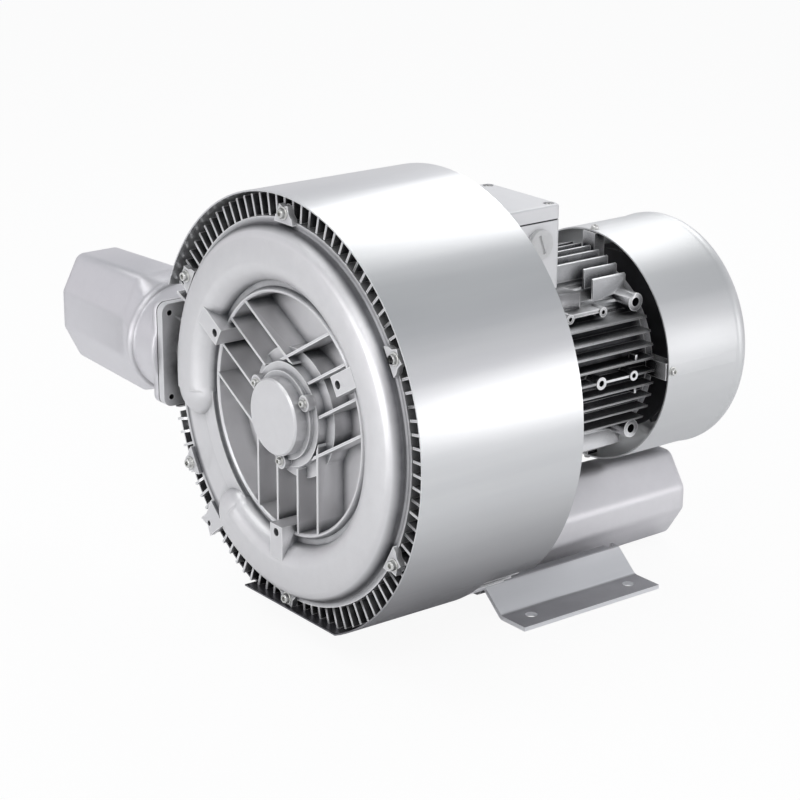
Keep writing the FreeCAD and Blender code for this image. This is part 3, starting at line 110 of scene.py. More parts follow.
def shader_group(name, inputs, outputs):
    group = bpy.data.node_groups.new(name, "ShaderNodeTree")
    for socket, kind, default in inputs:
        made = group.interface.new_socket(name=socket, in_out="INPUT", socket_type=kind)
        made.default_value = default
    for socket, kind in outputs:
        group.interface.new_socket(name=socket, in_out="OUTPUT", socket_type=kind)
    given = node(group, "NodeGroupInput").outputs
    return group, given, node(group, "NodeGroupOutput").inputs


def math_node(tree, operation, a, b=None, clamp=False):
    made = node(tree, "ShaderNodeMath", operation=operation, use_clamp=clamp)
    put(tree, made.inputs[0], a)
    if b is not None:
        put(tree, made.inputs[1], b)
    return made.outputs[0]


def ramp(tree, source, stops):
    """A colour ramp; a stop's value is a grey level or a colour."""
    made = node(tree, "ShaderNodeValToRGB")
    while len(made.color_ramp.elements) < len(stops):
        made.color_ramp.elements.new(0.5)
    for element, (place, value) in zip(made.color_ramp.elements, stops):
        element.position = place
        element.color = (*value, 1) if isinstance(value, tuple) else (value, value, value, 1)
    link(tree, source, made.inputs["Fac"])
    return made.outputs["Color"]


def noise(tree, vector, scale, detail=3.0, rough=0.55):
    made = node(tree, "ShaderNodeTexNoise")
    put(tree, made.inputs["Vector"], vector)
    put(tree, made.inputs["Scale"], scale)
    put(tree, made.inputs["Detail"], detail)
    put(tree, made.inputs["Roughness"], rough)
    return made.outputs["Fac"]


def uneven(tree, vector, scale, detail, rough, swing, least):
    """A cloudy factor: the noise times the swing, on top of the least value."""
    patch = noise(tree, vector, scale, detail, rough)
    return math_node(tree, "ADD", math_node(tree, "MULTIPLY", patch, swing), least)


def mix_colours(tree, share, under, over):
    made = node(tree, "ShaderNodeMix", data_type="RGBA")
    put(tree, made.inputs["Factor"], share)
    put(tree, made.inputs[MIX_UNDER], under)
    put(tree, made.inputs[MIX_OVER], over)
    return made.outputs[MIX_RESULT]


def colour_between(tree, mask, dark, light):
    return mix_colours(tree, mask, (*dark, 1), (*light, 1))


def shut_in(tree, distance, samples, inside=False):
    """How far a spot is closed in by the faces within the distance, from 0 to 1."""
    around = node(tree, "ShaderNodeAmbientOcclusion", samples=samples, inside=inside)
    link(tree, distance, around.inputs["Distance"])
    return math_node(tree, "SUBTRACT", 1.0, around.outputs["AO"])


# Shared surface effects

def make_casting_grain():
    """Fine sand-cast skin with slow waves under it: a height, and a mask of its dull spots."""
    group, given, wanted = shader_group(
        "casting_grain",
        [("Vector", VECTOR, (0, 0, 0)), ("Grain scale", FLOAT, 900.0), ("Wave scale", FLOAT, 14.0),
         ("Wave share", FLOAT, 0.2)],
        [("Height", FLOAT), ("Spots", FLOAT)])
    fine = noise(group, given["Vector"], given["Grain scale"], 2.0, 0.6)
    wave = noise(group, given["Vector"], given["Wave scale"], 3.0, 0.5)
    waved = math_node(group, "MULTIPLY", wave, given["Wave share"])
    link(group, math_node(group, "ADD", fine, waved), wanted["Height"])
    spots = noise(group, given["Vector"], 95.0, 5.0, 0.65)
    link(group, ramp(group, spots, SPOT_CONTRAST), wanted["Spots"])
    return group


def make_cavity_shade_and_dust():
    """Painted shade in corners and pockets, with some dust there: a darker colour where the faces
    close in.
    """
    group, given, wanted = shader_group(
        "cavity_shade_and_dust",
        [("Colour", COLOUR, (1, 1, 1, 1)), ("Dust", COLOUR, (0.2, 0.2, 0.2, 1)),
         ("Reach", FLOAT, 0.02), ("Amount", FLOAT, 0.5), ("Vector", VECTOR, (0, 0, 0))],
        [("Colour", COLOUR)])
    closed = shut_in(group, given["Reach"], 6)
    broken = math_node(group, "MULTIPLY", closed,
                       uneven(group, given["Vector"], 60.0, 4.0, 0.6, 1.0, 0.5))
    share = math_node(group, "MULTIPLY", broken, given["Amount"], clamp=True)
    link(group, mix_colours(group, share, given["Colour"], given["Dust"]), wanted["Colour"])
    return group


def make_worn_edges_and_highlight():
    """Brighter paint on outer edges: partly paint rubbed thin, partly a painted highlight."""
    group, given, wanted = shader_group(
        "worn_edges_and_highlight",
        [("Colour", COLOUR, (1, 1, 1, 1)), ("Bright edge", COLOUR, (0.9, 0.9, 0.9, 1)),
         ("Width", FLOAT, 0.0012), ("Amount", FLOAT, 0.6), ("Vector", VECTOR, (0, 0, 0))],
        [("Colour", COLOUR)])
    thin = shut_in(group, given["Width"], 5, inside=True)
    broken = math_node(group, "MULTIPLY", thin,
                       uneven(group, given["Vector"], 140.0, 3.0, 0.6, 1.0, 0.6))
    share = math_node(group, "MULTIPLY", broken, given["Amount"], clamp=True)
    link(group, mix_colours(group, share, given["Colour"], given["Bright edge"]), wanted["Colour"])
    return group


def make_brushing():
    """Fine drawn lines along one axis of the piece, as on rolled sheet and turned steel."""
    group, given, wanted = shader_group(
        "brushing",
        [("Vector", VECTOR, (0, 0, 0)), ("Stretch", VECTOR, (1, 1, 1)), ("Scale", FLOAT, 400.0)],
        [("Height", FLOAT), ("Streaks", FLOAT)])
    pulled = node(group, "ShaderNodeVectorMath", operation="MULTIPLY")
    link(group, given["Vector"], pulled.inputs[0])
    link(group, given["Stretch"], pulled.inputs[1])
    lines = noise(group, pulled.outputs[0], given["Scale"], 4.0, 0.6)
    broad = noise(group, pulled.outputs[0], 60.0, 3.0, 0.5)
    link(group, lines, wanted["Height"])
    link(group, ramp(group, broad, SPOT_CONTRAST), wanted["Streaks"])
    return group


def make_groove_shade():
    """Painted shade in the valley round the bulge, at one radius from the shaft: the share it
    covers.
    """
    group, given, wanted = shader_group(
        "groove_shade",
        [("Vector", VECTOR, (0, 0, 0)), ("Middle", FLOAT, 0.185), ("Half width", FLOAT, 0.0055),
         ("Cover", FLOAT, 0.95)],
        [("Share", FLOAT)])
    place = node(group, "ShaderNodeSeparateXYZ")
    link(group, given["Vector"], place.inputs[0])
    across = place.outputs["X"]
    level = math_node(group, "SUBTRACT", place.outputs["Z"], AXIS_Z)
    squares = math_node(group, "ADD", math_node(group, "MULTIPLY", across, across),
                        math_node(group, "MULTIPLY", level, level))
    radius = math_node(group, "SQRT", squares)
    away = math_node(group, "ABSOLUTE", math_node(group, "SUBTRACT", radius, given["Middle"]))
    spread = math_node(group, "DIVIDE", away, given["Half width"])
    near = math_node(group, "SUBTRACT", 1.0, spread, clamp=True)
    lying = math_node(group, "MULTIPLY", near,
                      uneven(group, given["Vector"], 30.0, 4.0, 0.6, 0.5, 0.75))
    link(group, math_node(group, "MULTIPLY", lying, given["Cover"], clamp=True), wanted["Share"])
    return group


def make_settled_dust_and_shade():
    """A darker film on faces that look up, partly dust and partly painted shade: the share of the
    finish that it covers.
    """
    slope_start, slope_span = 0.86, 0.12
    group, given, wanted = shader_group(
        "settled_dust_and_shade", [("Vector", VECTOR, (0, 0, 0)), ("Cover", FLOAT, 0.9)], [("Share", FLOAT)])
    facing = node(group, "ShaderNodeSeparateXYZ")
    link(group, node(group, "ShaderNodeNewGeometry").outputs["Normal"], facing.inputs[0])
    above = math_node(group, "SUBTRACT", facing.outputs["Z"], slope_start)
    level = math_node(group, "DIVIDE", above, slope_span, clamp=True)
    lying = math_node(group, "MULTIPLY", level,
                      uneven(group, given["Vector"], 22.0, 4.0, 0.6, 0.35, 0.75))
    link(group, math_node(group, "MULTIPLY", lying, given["Cover"], clamp=True), wanted["Share"])
    return group


def make_lower_shade_film():
    """Painted shade that thickens towards the underside: the share of the paint that it covers."""
    group, given, wanted = shader_group(
        "lower_shade_film",
        [("Vector", VECTOR, (0, 0, 0)), ("Unshaded above", FLOAT, 0.19), ("Depth", FLOAT, 0.17)],
        [("Share", FLOAT)])
    split = node(group, "ShaderNodeSeparateXYZ")
    link(group, given["Vector"], split.inputs[0])
    below = math_node(group, "SUBTRACT", given["Unshaded above"], split.outputs["Z"])
    part = math_node(group, "DIVIDE", below, given["Depth"], clamp=True)
    cloud = uneven(group, given["Vector"], 7.0, 3.0, 0.5, 0.3, 0.85)
    link(group, math_node(group, "MULTIPLY", part, cloud, clamp=True), wanted["Share"])
    return group


GRAIN = make_casting_grain()
SHADE_AND_DUST = make_cavity_shade_and_dust()
BRUSH = make_brushing()
WORN_AND_HIGHLIGHT = make_worn_edges_and_highlight()
LOWER_SHADE = make_lower_shade_film()
SETTLED_AND_SHADE = make_settled_dust_and_shade()
GROOVE_SHADE = make_groove_shade()


# Finishes

# Colour of the painted shade in the valley round the bulge.
GROOVE_SHADE_COLOUR = (0.12, 0.12, 0.13)
PLASTIC_GRAIN = 1400.0
ROUNDING_SAMPLES = 6


def start_material(name):
    material = bpy.data.materials.new(name)
    material.use_nodes = True
    tree = material.node_tree
    surface = tree.nodes["Principled BSDF"]
    place = node(tree, "ShaderNodeTexCoord").outputs["Object"]
    return material, tree, surface, place


def effect(tree, group, place, **values):
    """A shared effect placed in a material: its outputs. Values are inputs, with _ for a space."""
    made = node(tree, "ShaderNodeGroup", node_tree=group)
    link(tree, place, made.inputs["Vector"])
    for name, value in values.items():
        put(tree, made.inputs[name.replace("_", " ")], value)
    return made.outputs


def rough_between(tree, surface, mask, low, high):
    span = math_node(tree, "MULTIPLY", mask, high - low)
    link(tree, math_node(tree, "ADD", span, low), surface.inputs["Roughness"])


def add_bump(tree, surface, height, strength, distance, rounding=0.0):
    made = node(tree, "ShaderNodeBump")
    if rounding:
        eased = node(tree, "ShaderNodeBevel", samples=ROUNDING_SAMPLES)
        eased.inputs["Radius"].default_value = rounding
        link(tree, eased.outputs["Normal"], made.inputs["Normal"])
    made.inputs["Strength"].default_value = strength
    made.inputs["Distance"].default_value = distance
    link(tree, height, made.inputs["Height"])
    link(tree, made.outputs["Normal"], surface.inputs["Normal"])


def silver_casting(name, dark, light, rough=(0.38, 0.44), metal=0.75, shade_and_dust=0.75, reach=0.03,
                   bump=0.06, shade_and_dust_colour=(0.16, 0.165, 0.175), worn_and_highlight=0.0, rounding=0.0,
                   shaded_groove=False):
    """Silver paint over a die casting: soft sheen, fine skin, painted shade with some dust in the
    pockets.
    """
    material, tree, surface, place = start_material(name)
    grain = effect(tree, GRAIN, place)
    paint = colour_between(tree, grain["Spots"], dark, light)
    # Painted shade, with some dust: the colour darkens where nearby faces close in.
    paint = effect(tree, SHADE_AND_DUST, place, Colour=paint, Dust=(*shade_and_dust_colour, 1), Reach=reach,
                   Amount=shade_and_dust)["Colour"]
    # Painted shade in the valley round the bulge.
    if shaded_groove:
        paint = mix_colours(tree, effect(tree, GROOVE_SHADE, place)["Share"], paint, (*GROOVE_SHADE_COLOUR, 1))
    # Painted highlight on outer edges, with some rubbed wear.
    if worn_and_highlight:
        paint = effect(tree, WORN_AND_HIGHLIGHT, place, Colour=paint, Amount=worn_and_highlight)["Colour"]
    link(tree, paint, surface.inputs["Base Color"])
    rough_between(tree, surface, grain["Spots"], *rough)
    surface.inputs["Metallic"].default_value = metal
    add_bump(tree, surface, grain["Height"], bump, 0.0004, rounding)
    return material


def silver_sheet(name, dark, light, rough=(0.3, 0.36), metal=0.85, stretch=(1, 0.05, 1), bump=0.05,
                 shade_film_colour=None, shade_film_group=LOWER_SHADE):
    """Smooth lacquer on rolled sheet, or bare drawn metal; the film colour, when given, is a
    painted shade laid on by the film group.
    """
    material, tree, surface, place = start_material(name)
    lines = effect(tree, BRUSH, place, Stretch=stretch)
    paint = colour_between(tree, lines["Streaks"], dark, light)
    # Painted shade: a darker film laid over the sheet's colour.
    if shade_film_colour:
        paint = mix_colours(tree, effect(tree, shade_film_group, place)["Share"], paint, (*shade_film_colour, 1))
    link(tree, paint, surface.inputs["Base Color"])
    rough_between(tree, surface, lines["Streaks"], *rough)
    surface.inputs["Metallic"].default_value = metal
    add_bump(tree, surface, lines["Height"], bump, 0.0002)
    return material


def moulded_plastic(name, dark, light, rough=(0.4, 0.52)):
    """Plastic, rubber or foam with a fine moulded grain."""
    material, tree, surface, place = start_material(name)
    grain = effect(tree, GRAIN, place, Grain_scale=PLASTIC_GRAIN)
    link(tree, colour_between(tree, grain["Spots"], dark, light), surface.inputs["Base Color"])
    rough_between(tree, surface, grain["Spots"], *rough)
    add_bump(tree, surface, grain["Height"], 0.08, 0.0003)
    return material


# Cover: painted shade in the recess and in the valley round the bulge, with some dust; painted
# highlights on the rib tips and edges, with some wear.
cover_paint = silver_casting("cover_silver", (0.66, 0.655, 0.665), (0.69, 0.685, 0.695), shade_and_dust=1.5,
                             reach=0.011, rough=(0.36, 0.42), worn_and_highlight=1.8, shaded_groove=True)
# Housings: near-black painted shade in the gaps between the fins, and painted highlights on the fin
# tips, with some wear.
housing_paint = silver_casting("housing_silver", (0.66, 0.66, 0.67), (0.70, 0.70, 0.71), shade_and_dust=1.4,
                               reach=0.02, shade_and_dust_colour=(0.03, 0.03, 0.033), worn_and_highlight=1.6)
silencer_paint = silver_casting("silencer_silver", (0.655, 0.645, 0.67), (0.68, 0.67, 0.695),
                                rough=(0.36, 0.42), shade_and_dust=0.3, bump=0.03, rounding=0.009)
# Painted light: the same silver casting as the inlet silencer, made lighter for the brighter light
# on the outlet silencer.
lit_outlet_paint = silver_casting("outlet_silver_lit", (0.74, 0.73, 0.75), (0.77, 0.76, 0.78),
                              rough=(0.46, 0.52), shade_and_dust=0.3, bump=0.03, rounding=0.009)
# Motor: near-black painted shade between the fins, and painted highlights on the fin tips, with
# some wear.
motor_paint = silver_casting("motor_silver", (0.72, 0.72, 0.73), (0.76, 0.76, 0.77), shade_and_dust=3.0,
                             reach=0.02, shade_and_dust_colour=(0.022, 0.022, 0.025), worn_and_highlight=1.8)
box_paint = silver_casting("box_light_grey", (0.70, 0.70, 0.71), (0.73, 0.73, 0.74), metal=0.25,
                           rough=(0.42, 0.55), shade_and_dust=0.3)
# Painted shade: the shroud grows darker towards the bottom.
shroud_paint = silver_sheet("shroud_silver", (0.655, 0.66, 0.67), (0.695, 0.70, 0.705),
                            shade_film_colour=(0.13, 0.125, 0.14))
cowl_paint = silver_sheet("cowl_silver", (0.66, 0.665, 0.67), (0.70, 0.705, 0.71),
                          rough=(0.46, 0.52))
# Painted shade, partly dust: a darker film on the faces that look up.
foot_coat = silver_sheet("foot_silver", (0.86, 0.86, 0.88), (0.90, 0.90, 0.92),
                         rough=(0.30, 0.34), metal=0.5, bump=0.015, shade_film_colour=(0.24, 0.24, 0.255),
                         shade_film_group=SETTLED_AND_SHADE)
zinc = silver_sheet("zinc_plate", (0.60, 0.60, 0.58), (0.74, 0.74, 0.72), rough=(0.22, 0.4),
                    metal=1.0, stretch=(1, 1, 1))
ground_steel = silver_sheet("ground_steel", (0.55, 0.55, 0.56), (0.66, 0.66, 0.67),
                            rough=(0.16, 0.28), metal=1.0, stretch=(1, 0.2, 1))
laminations = silver_sheet("laminated_steel", (0.18, 0.18, 0.19), (0.28, 0.28, 0.29),
                           rough=(0.4, 0.6), metal=0.8, stretch=(0.1, 4, 0.1))
copper = silver_sheet("lacquered_copper", (0.55, 0.22, 0.09), (0.70, 0.32, 0.14),
                      rough=(0.25, 0.4), metal=1.0, stretch=(1, 0.1, 1))
black_plastic = moulded_plastic("black_moulding", (0.02, 0.02, 0.022), (0.035, 0.035, 0.04))
plug_grey = moulded_plastic("plug_grey", (0.60, 0.60, 0.60), (0.66, 0.66, 0.66))
rubber = moulded_plastic("gasket_black", (0.015, 0.015, 0.015), (0.03, 0.03, 0.03),
                         rough=(0.65, 0.8))
foam = moulded_plastic("foam_grey", (0.05, 0.05, 0.052), (0.09, 0.09, 0.092), rough=(0.85, 0.95))

FINISH = {
    "front_cover": cover_paint, "bearing_cap": cover_paint, "front_housing": housing_paint,
    "rear_housing": housing_paint, "shroud": shroud_paint, "inlet_silencer": silencer_paint,
    "outlet_silencer": lit_outlet_paint, "left_foot": foot_coat, "right_foot": foot_coat,
    "motor_frame": motor_paint, "rear_shield": motor_paint, "fan_cowl": cowl_paint,
    "terminal_box": box_paint, "terminal_lid": box_paint, "cable_plug": plug_grey,
    "inlet_gasket": rubber, "outlet_gasket": rubber, "lid_gasket": rubber, "shaft_seal": rubber,
    "inlet_liner": foam, "outlet_liner": foam, "inlet_tube": ground_steel,
    "outlet_tube": ground_steel, "cooling_fan": black_plastic, "terminal_block": black_plastic,
    "front_bearing_cage": black_plastic, "rear_bearing_cage": black_plastic,
    "rotor_core": laminations, "stator_core": laminations, "stator_windings": copper,
    "front_impeller": cover_paint, "rear_impeller": cover_paint}


# Pieces carried over from the model

MERGE_WITHIN = 2e-6
FLAT_WITHIN, SHARP_FROM, BEVEL_FROM = math.radians(0.6), math.radians(32), math.radians(36)


def dress(name, bevel):
    """A smooth-shaded copy of a model node, its edges softly broken by the bevel's width."""
    source = frame["nodes"][name]
    mesh = bpy.data.meshes.new(name + "_skin")
    work = bmesh.new()
    work.from_mesh(source.data)
    bmesh.ops.remove_doubles(work, verts=work.verts, dist=MERGE_WITHIN)
    bmesh.ops.dissolve_limit(work, angle_limit=FLAT_WITHIN, verts=work.verts, edges=work.edges)
    work.to_mesh(mesh)
    work.free()
    mesh.materials.clear()
    mesh.materials.append(FINISH[name])
    piece = in_scene(name + "_skin", mesh)
    for face in mesh.polygons:
        face.use_smooth = True
    mesh.set_sharp_from_angle(angle=SHARP_FROM)
    if bevel:
        rounded = piece.modifiers.new("edge", "BEVEL")
        rounded.width = bevel
        rounded.segments = 2
        rounded.limit_method = "ANGLE"
        rounded.angle_limit = BEVEL_FROM
        rounded.harden_normals = True
        rounded.miter_outer = "MITER_ARC"
    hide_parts(name)
    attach(piece, source["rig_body"])


for name, source in frame["nodes"].items():
    source.data.materials.clear()
    source.data.materials.append(FINISH.get(name, zinc if "screw" in name or "bolt" in name
                                            else ground_steel))

BROKEN_EDGES = {
    "front_cover": 0.0006, "bearing_cap": 0.0005, "front_housing": 0.0, "rear_housing": 0.0,
    "shroud": 0.0003, "inlet_silencer": 0.0007, "outlet_silencer": 0.0007, "left_foot": 0.0005,
    "right_foot": 0.0005, "motor_frame": 0.0, "rear_shield": 0.0004, "fan_cowl": 0.0003,
    "terminal_box": 0.0004, "terminal_lid": 0.0003, "cable_plug": 0.0002}
for name, width in BROKEN_EDGES.items():
    dress(name, width)


# Screws

HEAD_STEPS = 24
TURNED_SHARP = math.radians(40)
SOCKET_R, SOCKET_TOP, SOCKET_FLOOR, SOCKET_TAPER = 0.52, 0.95, 0.3, 0.97
# radius and height of each ring of a pan head and its washer, the head's own radius being 1
PAN_RINGS = ((1.28, 0.0), (1.28, 0.14), (1.02, 0.17), (1.0, SOCKET_TOP * 0.35),
             (0.94, SOCKET_TOP * 0.82), (0.82, SOCKET_TOP))
# radius, share of the height, and whether the ring is a hexagon
HEXAGON_RINGS = ((1.25, 0.0, False), (1.25, 0.16, False), (1.04, 0.2, False), (0.98, 0.2, True),
                 (0.98, 0.82, True), (0.84, 1.0, False))
HEXAGON_TOP = 0.9


def join_rings(work, rings):
    for low, high in zip(rings, rings[1:]):
        for i in range(len(low)):
            j = (i + 1) % len(low)
            work.faces.new((low[i], low[j], high[j], high[i]))


def finished_mesh(work, name):
    bmesh.ops.recalc_face_normals(work, faces=work.faces)
    mesh = bpy.data.meshes.new(name)
    work.to_mesh(mesh)
    work.free()
    for face in mesh.polygons:
        face.use_smooth = True
    mesh.set_sharp_from_angle(angle=TURNED_SHARP)
    return mesh


def head_ring(work, radius, z, hexagonal=False):
    """One ring of a screw head: round, or pulled in to a hexagon with the radius at its corners."""
    ring = []
    for i in range(HEAD_STEPS):
        a = 2 * math.pi * i / HEAD_STEPS
        reach = radius
        if hexagonal:
            reach *= math.cos(math.pi / 6) / math.cos((a % (math.pi / 3)) - math.pi / 6)
        ring.append(work.verts.new((reach * math.cos(a), reach * math.sin(a), z)))
    return ring


def head_pattern(name, rings):
    """A closed head of radius 1 on Z = 0, from (radius, height, hexagonal) rings."""
    work = bmesh.new()
    made = [head_ring(work, *ring) for ring in rings]
    join_rings(work, made)
    work.faces.new(made[-1])
    work.faces.new(made[0][::-1])
    return in_scene(name, finished_mesh(work, name))


def geometry_tree(name, sockets):
    tree = bpy.data.node_groups.new(name, "GeometryNodeTree")
    tree.interface.new_socket(name="Geometry", in_out="INPUT", socket_type="NodeSocketGeometry")
    for socket, kind in sockets:
        tree.interface.new_socket(name=socket, in_out="INPUT", socket_type=kind)
    tree.interface.new_socket(name="Geometry", in_out="OUTPUT", socket_type="NodeSocketGeometry")
    return tree, node(tree, "NodeGroupInput"), node(tree, "NodeGroupOutput")


def make_seating_tree():
    """Stands a head on each seat point, along the seat's own direction, turned at random."""
    tree, gin, gout = geometry_tree("seat_screws", [
        ("Head", "NodeSocketObject"), ("Size", FLOAT), ("Seed", "NodeSocketInt"),
        ("Finish", "NodeSocketMaterial")])
    head = node(tree, "GeometryNodeObjectInfo")
    link(tree, gin.outputs["Head"], head.inputs["Object"])
    direction = node(tree, "GeometryNodeInputNamedAttribute", data_type="FLOAT_VECTOR")
    direction.inputs["Name"].default_value = "seat_direction"
    stand = node(tree, "FunctionNodeAlignRotationToVector", axis="Z")
    link(tree, direction.outputs["Attribute"], stand.inputs["Vector"])
    turn = node(tree, "FunctionNodeRandomValue", data_type="FLOAT")
    turn.inputs[3].default_value = FULL_TURN
    link(tree, gin.outputs["Seed"], turn.inputs["Seed"])
    own = node(tree, "FunctionNodeAxisAngleToRotation")
    own.inputs["Axis"].default_value = (0, 0, 1)
    link(tree, turn.outputs[1], own.inputs["Angle"])
    both = node(tree, "FunctionNodeRotateRotation", rotation_space="LOCAL")
    link(tree, stand.outputs["Rotation"], both.inputs["Rotation"])
    link(tree, own.outputs["Rotation"], both.inputs["Rotate By"])
    place = node(tree, "GeometryNodeInstanceOnPoints")
    link(tree, gin.outputs["Geometry"], place.inputs["Points"])
    link(tree, head.outputs["Geometry"], place.inputs["Instance"])
    link(tree, both.outputs["Rotation"], place.inputs["Rotation"])
    link(tree, gin.outputs["Size"], place.inputs["Scale"])
    real = node(tree, "GeometryNodeRealizeInstances")
    link(tree, place.outputs["Instances"], real.inputs["Geometry"])
    painted = node(tree, "GeometryNodeSetMaterial")
    link(tree, real.outputs["Geometry"], painted.inputs["Geometry"])
    link(tree, gin.outputs["Finish"], painted.inputs["Material"])
    link(tree, painted.outputs["Geometry"], gout.inputs["Geometry"])
    return tree


def set_inputs(modifier, values):
    for item in modifier.node_group.interface.items_tree:
        if item.item_type == "SOCKET" and item.in_out == "INPUT" and item.name in values:
            modifier[item.identifier] = values[item.name]


def made_plain(name, carrier):
    """The carrier's evaluated geometry as a plain mesh object, the carrier removed."""
    bpy.context.view_layer.update()
    graph = bpy.context.evaluated_depsgraph_get()
    mesh = bpy.data.meshes.new_from_object(carrier.evaluated_get(graph))
    mesh.name = name
    piece = in_scene(name, mesh)
    bpy.data.objects.remove(carrier)
    return piece


SEATING = make_seating_tree()
SOCKET = head_pattern("socket_pattern", [(r, z, False) for r, z in PAN_RINGS] + [
    (SOCKET_R, SOCKET_TOP, True), (SOCKET_R * SOCKET_TAPER, SOCKET_TOP * SOCKET_FLOOR, True)])
HEXAGON = head_pattern("hexagon_pattern",
                       [(r, z * HEXAGON_TOP, six) for r, z, six in HEXAGON_RINGS])


def seat_screws(name, seats, size, seed, head=SOCKET):
    """Heads for one screw group of the model; seats is a list of (point, outward direction)."""
    mesh = bpy.data.meshes.new(name + "_seats")
    mesh.from_pydata([tuple(point) for point, _ in seats], [], [])
    directions = mesh.attributes.new("seat_direction", "FLOAT_VECTOR", "POINT")
    for item, (_, outward) in zip(directions.data, seats):
        item.vector = outward
    carrier = in_scene(name + "_carrier", mesh)
    modifier = carrier.modifiers.new("seat", "NODES")
    modifier.node_group = SEATING
    set_inputs(modifier, {"Head": head, "Size": size, "Seed": seed, "Finish": zinc})
    piece = made_plain(name + "_heads", carrier)
    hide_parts(name)
    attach(piece, "casing")


def outwards(angle):
    return (math.cos(math.radians(angle)), 0, math.sin(math.radians(angle)))


def on_circle(radius, angles, y, direction):
    return [(polar(radius, a, y), direction) for a in angles]


def around(radius, angles, levels):
    """Seats on the outside of a cylinder round the shaft."""
    return [(polar(radius, a, y), outwards(a)) for a in angles for y in levels]


FRONT, BACK, LEFT, DOWN, UP = (0, -1, 0), (0, 1, 0), (-1, 0, 0), (0, 0, -1), (0, 0, 1)
# radius of each head, in metres
M5_HEAD, M6_HEAD, M8_HEAD, JOINT_HEAD, SHIELD_HEAD = 0.0031, 0.0039, 0.0051, 0.0046, 0.0033
# where the model's screws stand, in millimetres and degrees
COVER_R, LOW_COVER_R, COVER_Y = 199.0, 191.2, 3.5
CAP_R, CAP_Y = 46.0, -3.0
JOINT_R, JOINT_Y = 187.6, 186.0
SHROUD_R, SHROUD_ENDS, SHROUD_ROWS = 218.0, (153, -161), (30.0, 100.0)
FLAT_X, FLAT_Y, FLAT_Z = 60.0, 60.0, -201.0
FOOT_X, FOOT_ROWS, FOOT_SEAT_Z = 46.0, (148.0, 176.0), -205.8
INLET_SEAT_X, INLET_Y, INLET_Z, INLET_HALF = -222.0, 45.0, 9.0, (43.0, 45.0)
OUTLET_X, OUTLET_SEAT_Y, OUTLET_Z, OUTLET_HALF = 25.0, 218.0, -175.0, (31.0, 36.0)
SQUARE, CROSS, THIRDS = (45, 135, 225, 315), (0, 90, 180, 270), (30, 150, 270)
MOTOR_FLANGE_R, MOTOR_FLANGE_Y = 102.0, 204.0
SHIELD_R, SHIELD_Y = 88.5, 398.0
COWL_R, COWL_Y = 124.3, 397.0
LID_X, LID_HALF, LID_ROWS, LID_Z = 12.0, 47.0, (215.0, 281.0), 176.5


def both_ways(half):
    return (-half, half)


# The ranges of the cover screws and the joint bolts end on their first seat once more.
seat_screws("cover_screws", [(polar(LOW_COVER_R if a == 270 else COVER_R, a, COVER_Y), FRONT)
                             for a in range(30, 391, 60)], M8_HEAD, 3)
seat_screws("bearing_cap_screws", on_circle(CAP_R, THIRDS, CAP_Y, FRONT), M6_HEAD, 5)
seat_screws("joint_bolts", on_circle(JOINT_R, range(45, 406, 60), JOINT_Y, BACK), JOINT_HEAD, 7,
            HEXAGON)
seat_screws("shroud_screws", around(SHROUD_R, SHROUD_ENDS, SHROUD_ROWS)
            + [(at(x, FLAT_Y, FLAT_Z), DOWN) for x in both_ways(FLAT_X)], M6_HEAD, 9)
seat_screws("foot_screws", [(at(x, y, FOOT_SEAT_Z), DOWN) for x in both_ways(FOOT_X)
                            for y in FOOT_ROWS], M8_HEAD, 11, HEXAGON)
seat_screws("inlet_screws", [(at(INLET_SEAT_X, INLET_Y + y, INLET_Z + z), LEFT)
                             for y in both_ways(INLET_HALF[0])
                             for z in both_ways(INLET_HALF[1])], M6_HEAD, 13)
seat_screws("outlet_screws", [(at(OUTLET_X + x, OUTLET_SEAT_Y, OUTLET_Z + z), BACK)
                              for x in both_ways(OUTLET_HALF[0])
                              for z in both_ways(OUTLET_HALF[1])], M6_HEAD, 15)
seat_screws("motor_flange_bolts", on_circle(MOTOR_FLANGE_R, SQUARE, MOTOR_FLANGE_Y, BACK),
            M8_HEAD, 17, HEXAGON)
seat_screws("rear_shield_bolts", on_circle(SHIELD_R, SQUARE, SHIELD_Y, BACK), SHIELD_HEAD, 19,
            HEXAGON)
seat_screws("cowl_screws", around(COWL_R, CROSS, (COWL_Y,)), M6_HEAD, 21)
seat_screws("lid_screws", [(at(LID_X + x, y, LID_Z), UP) for x in both_ways(LID_HALF)
                           for y in LID_ROWS], M5_HEAD, 23)
for shape in (SOCKET, HEXAGON):
    bpy.data.objects.remove(shape)


# Pipe threads in the silencers' ends, in metres

THREAD_R, THREAD_LENGTH, THREAD_PITCH, THREAD_DEPTH = 0.0285, 0.014, 0.00231, 0.0012
THREAD_STEPS, ROWS_A_TURN = 72, 6
THREAD_FIT, THREAD_WALL, THREAD_EDGE, THREAD_START = 0.00003, 0.0001, 0.0003, 0.0004
INLET_END, OUTLET_END = -420.0, 485.0


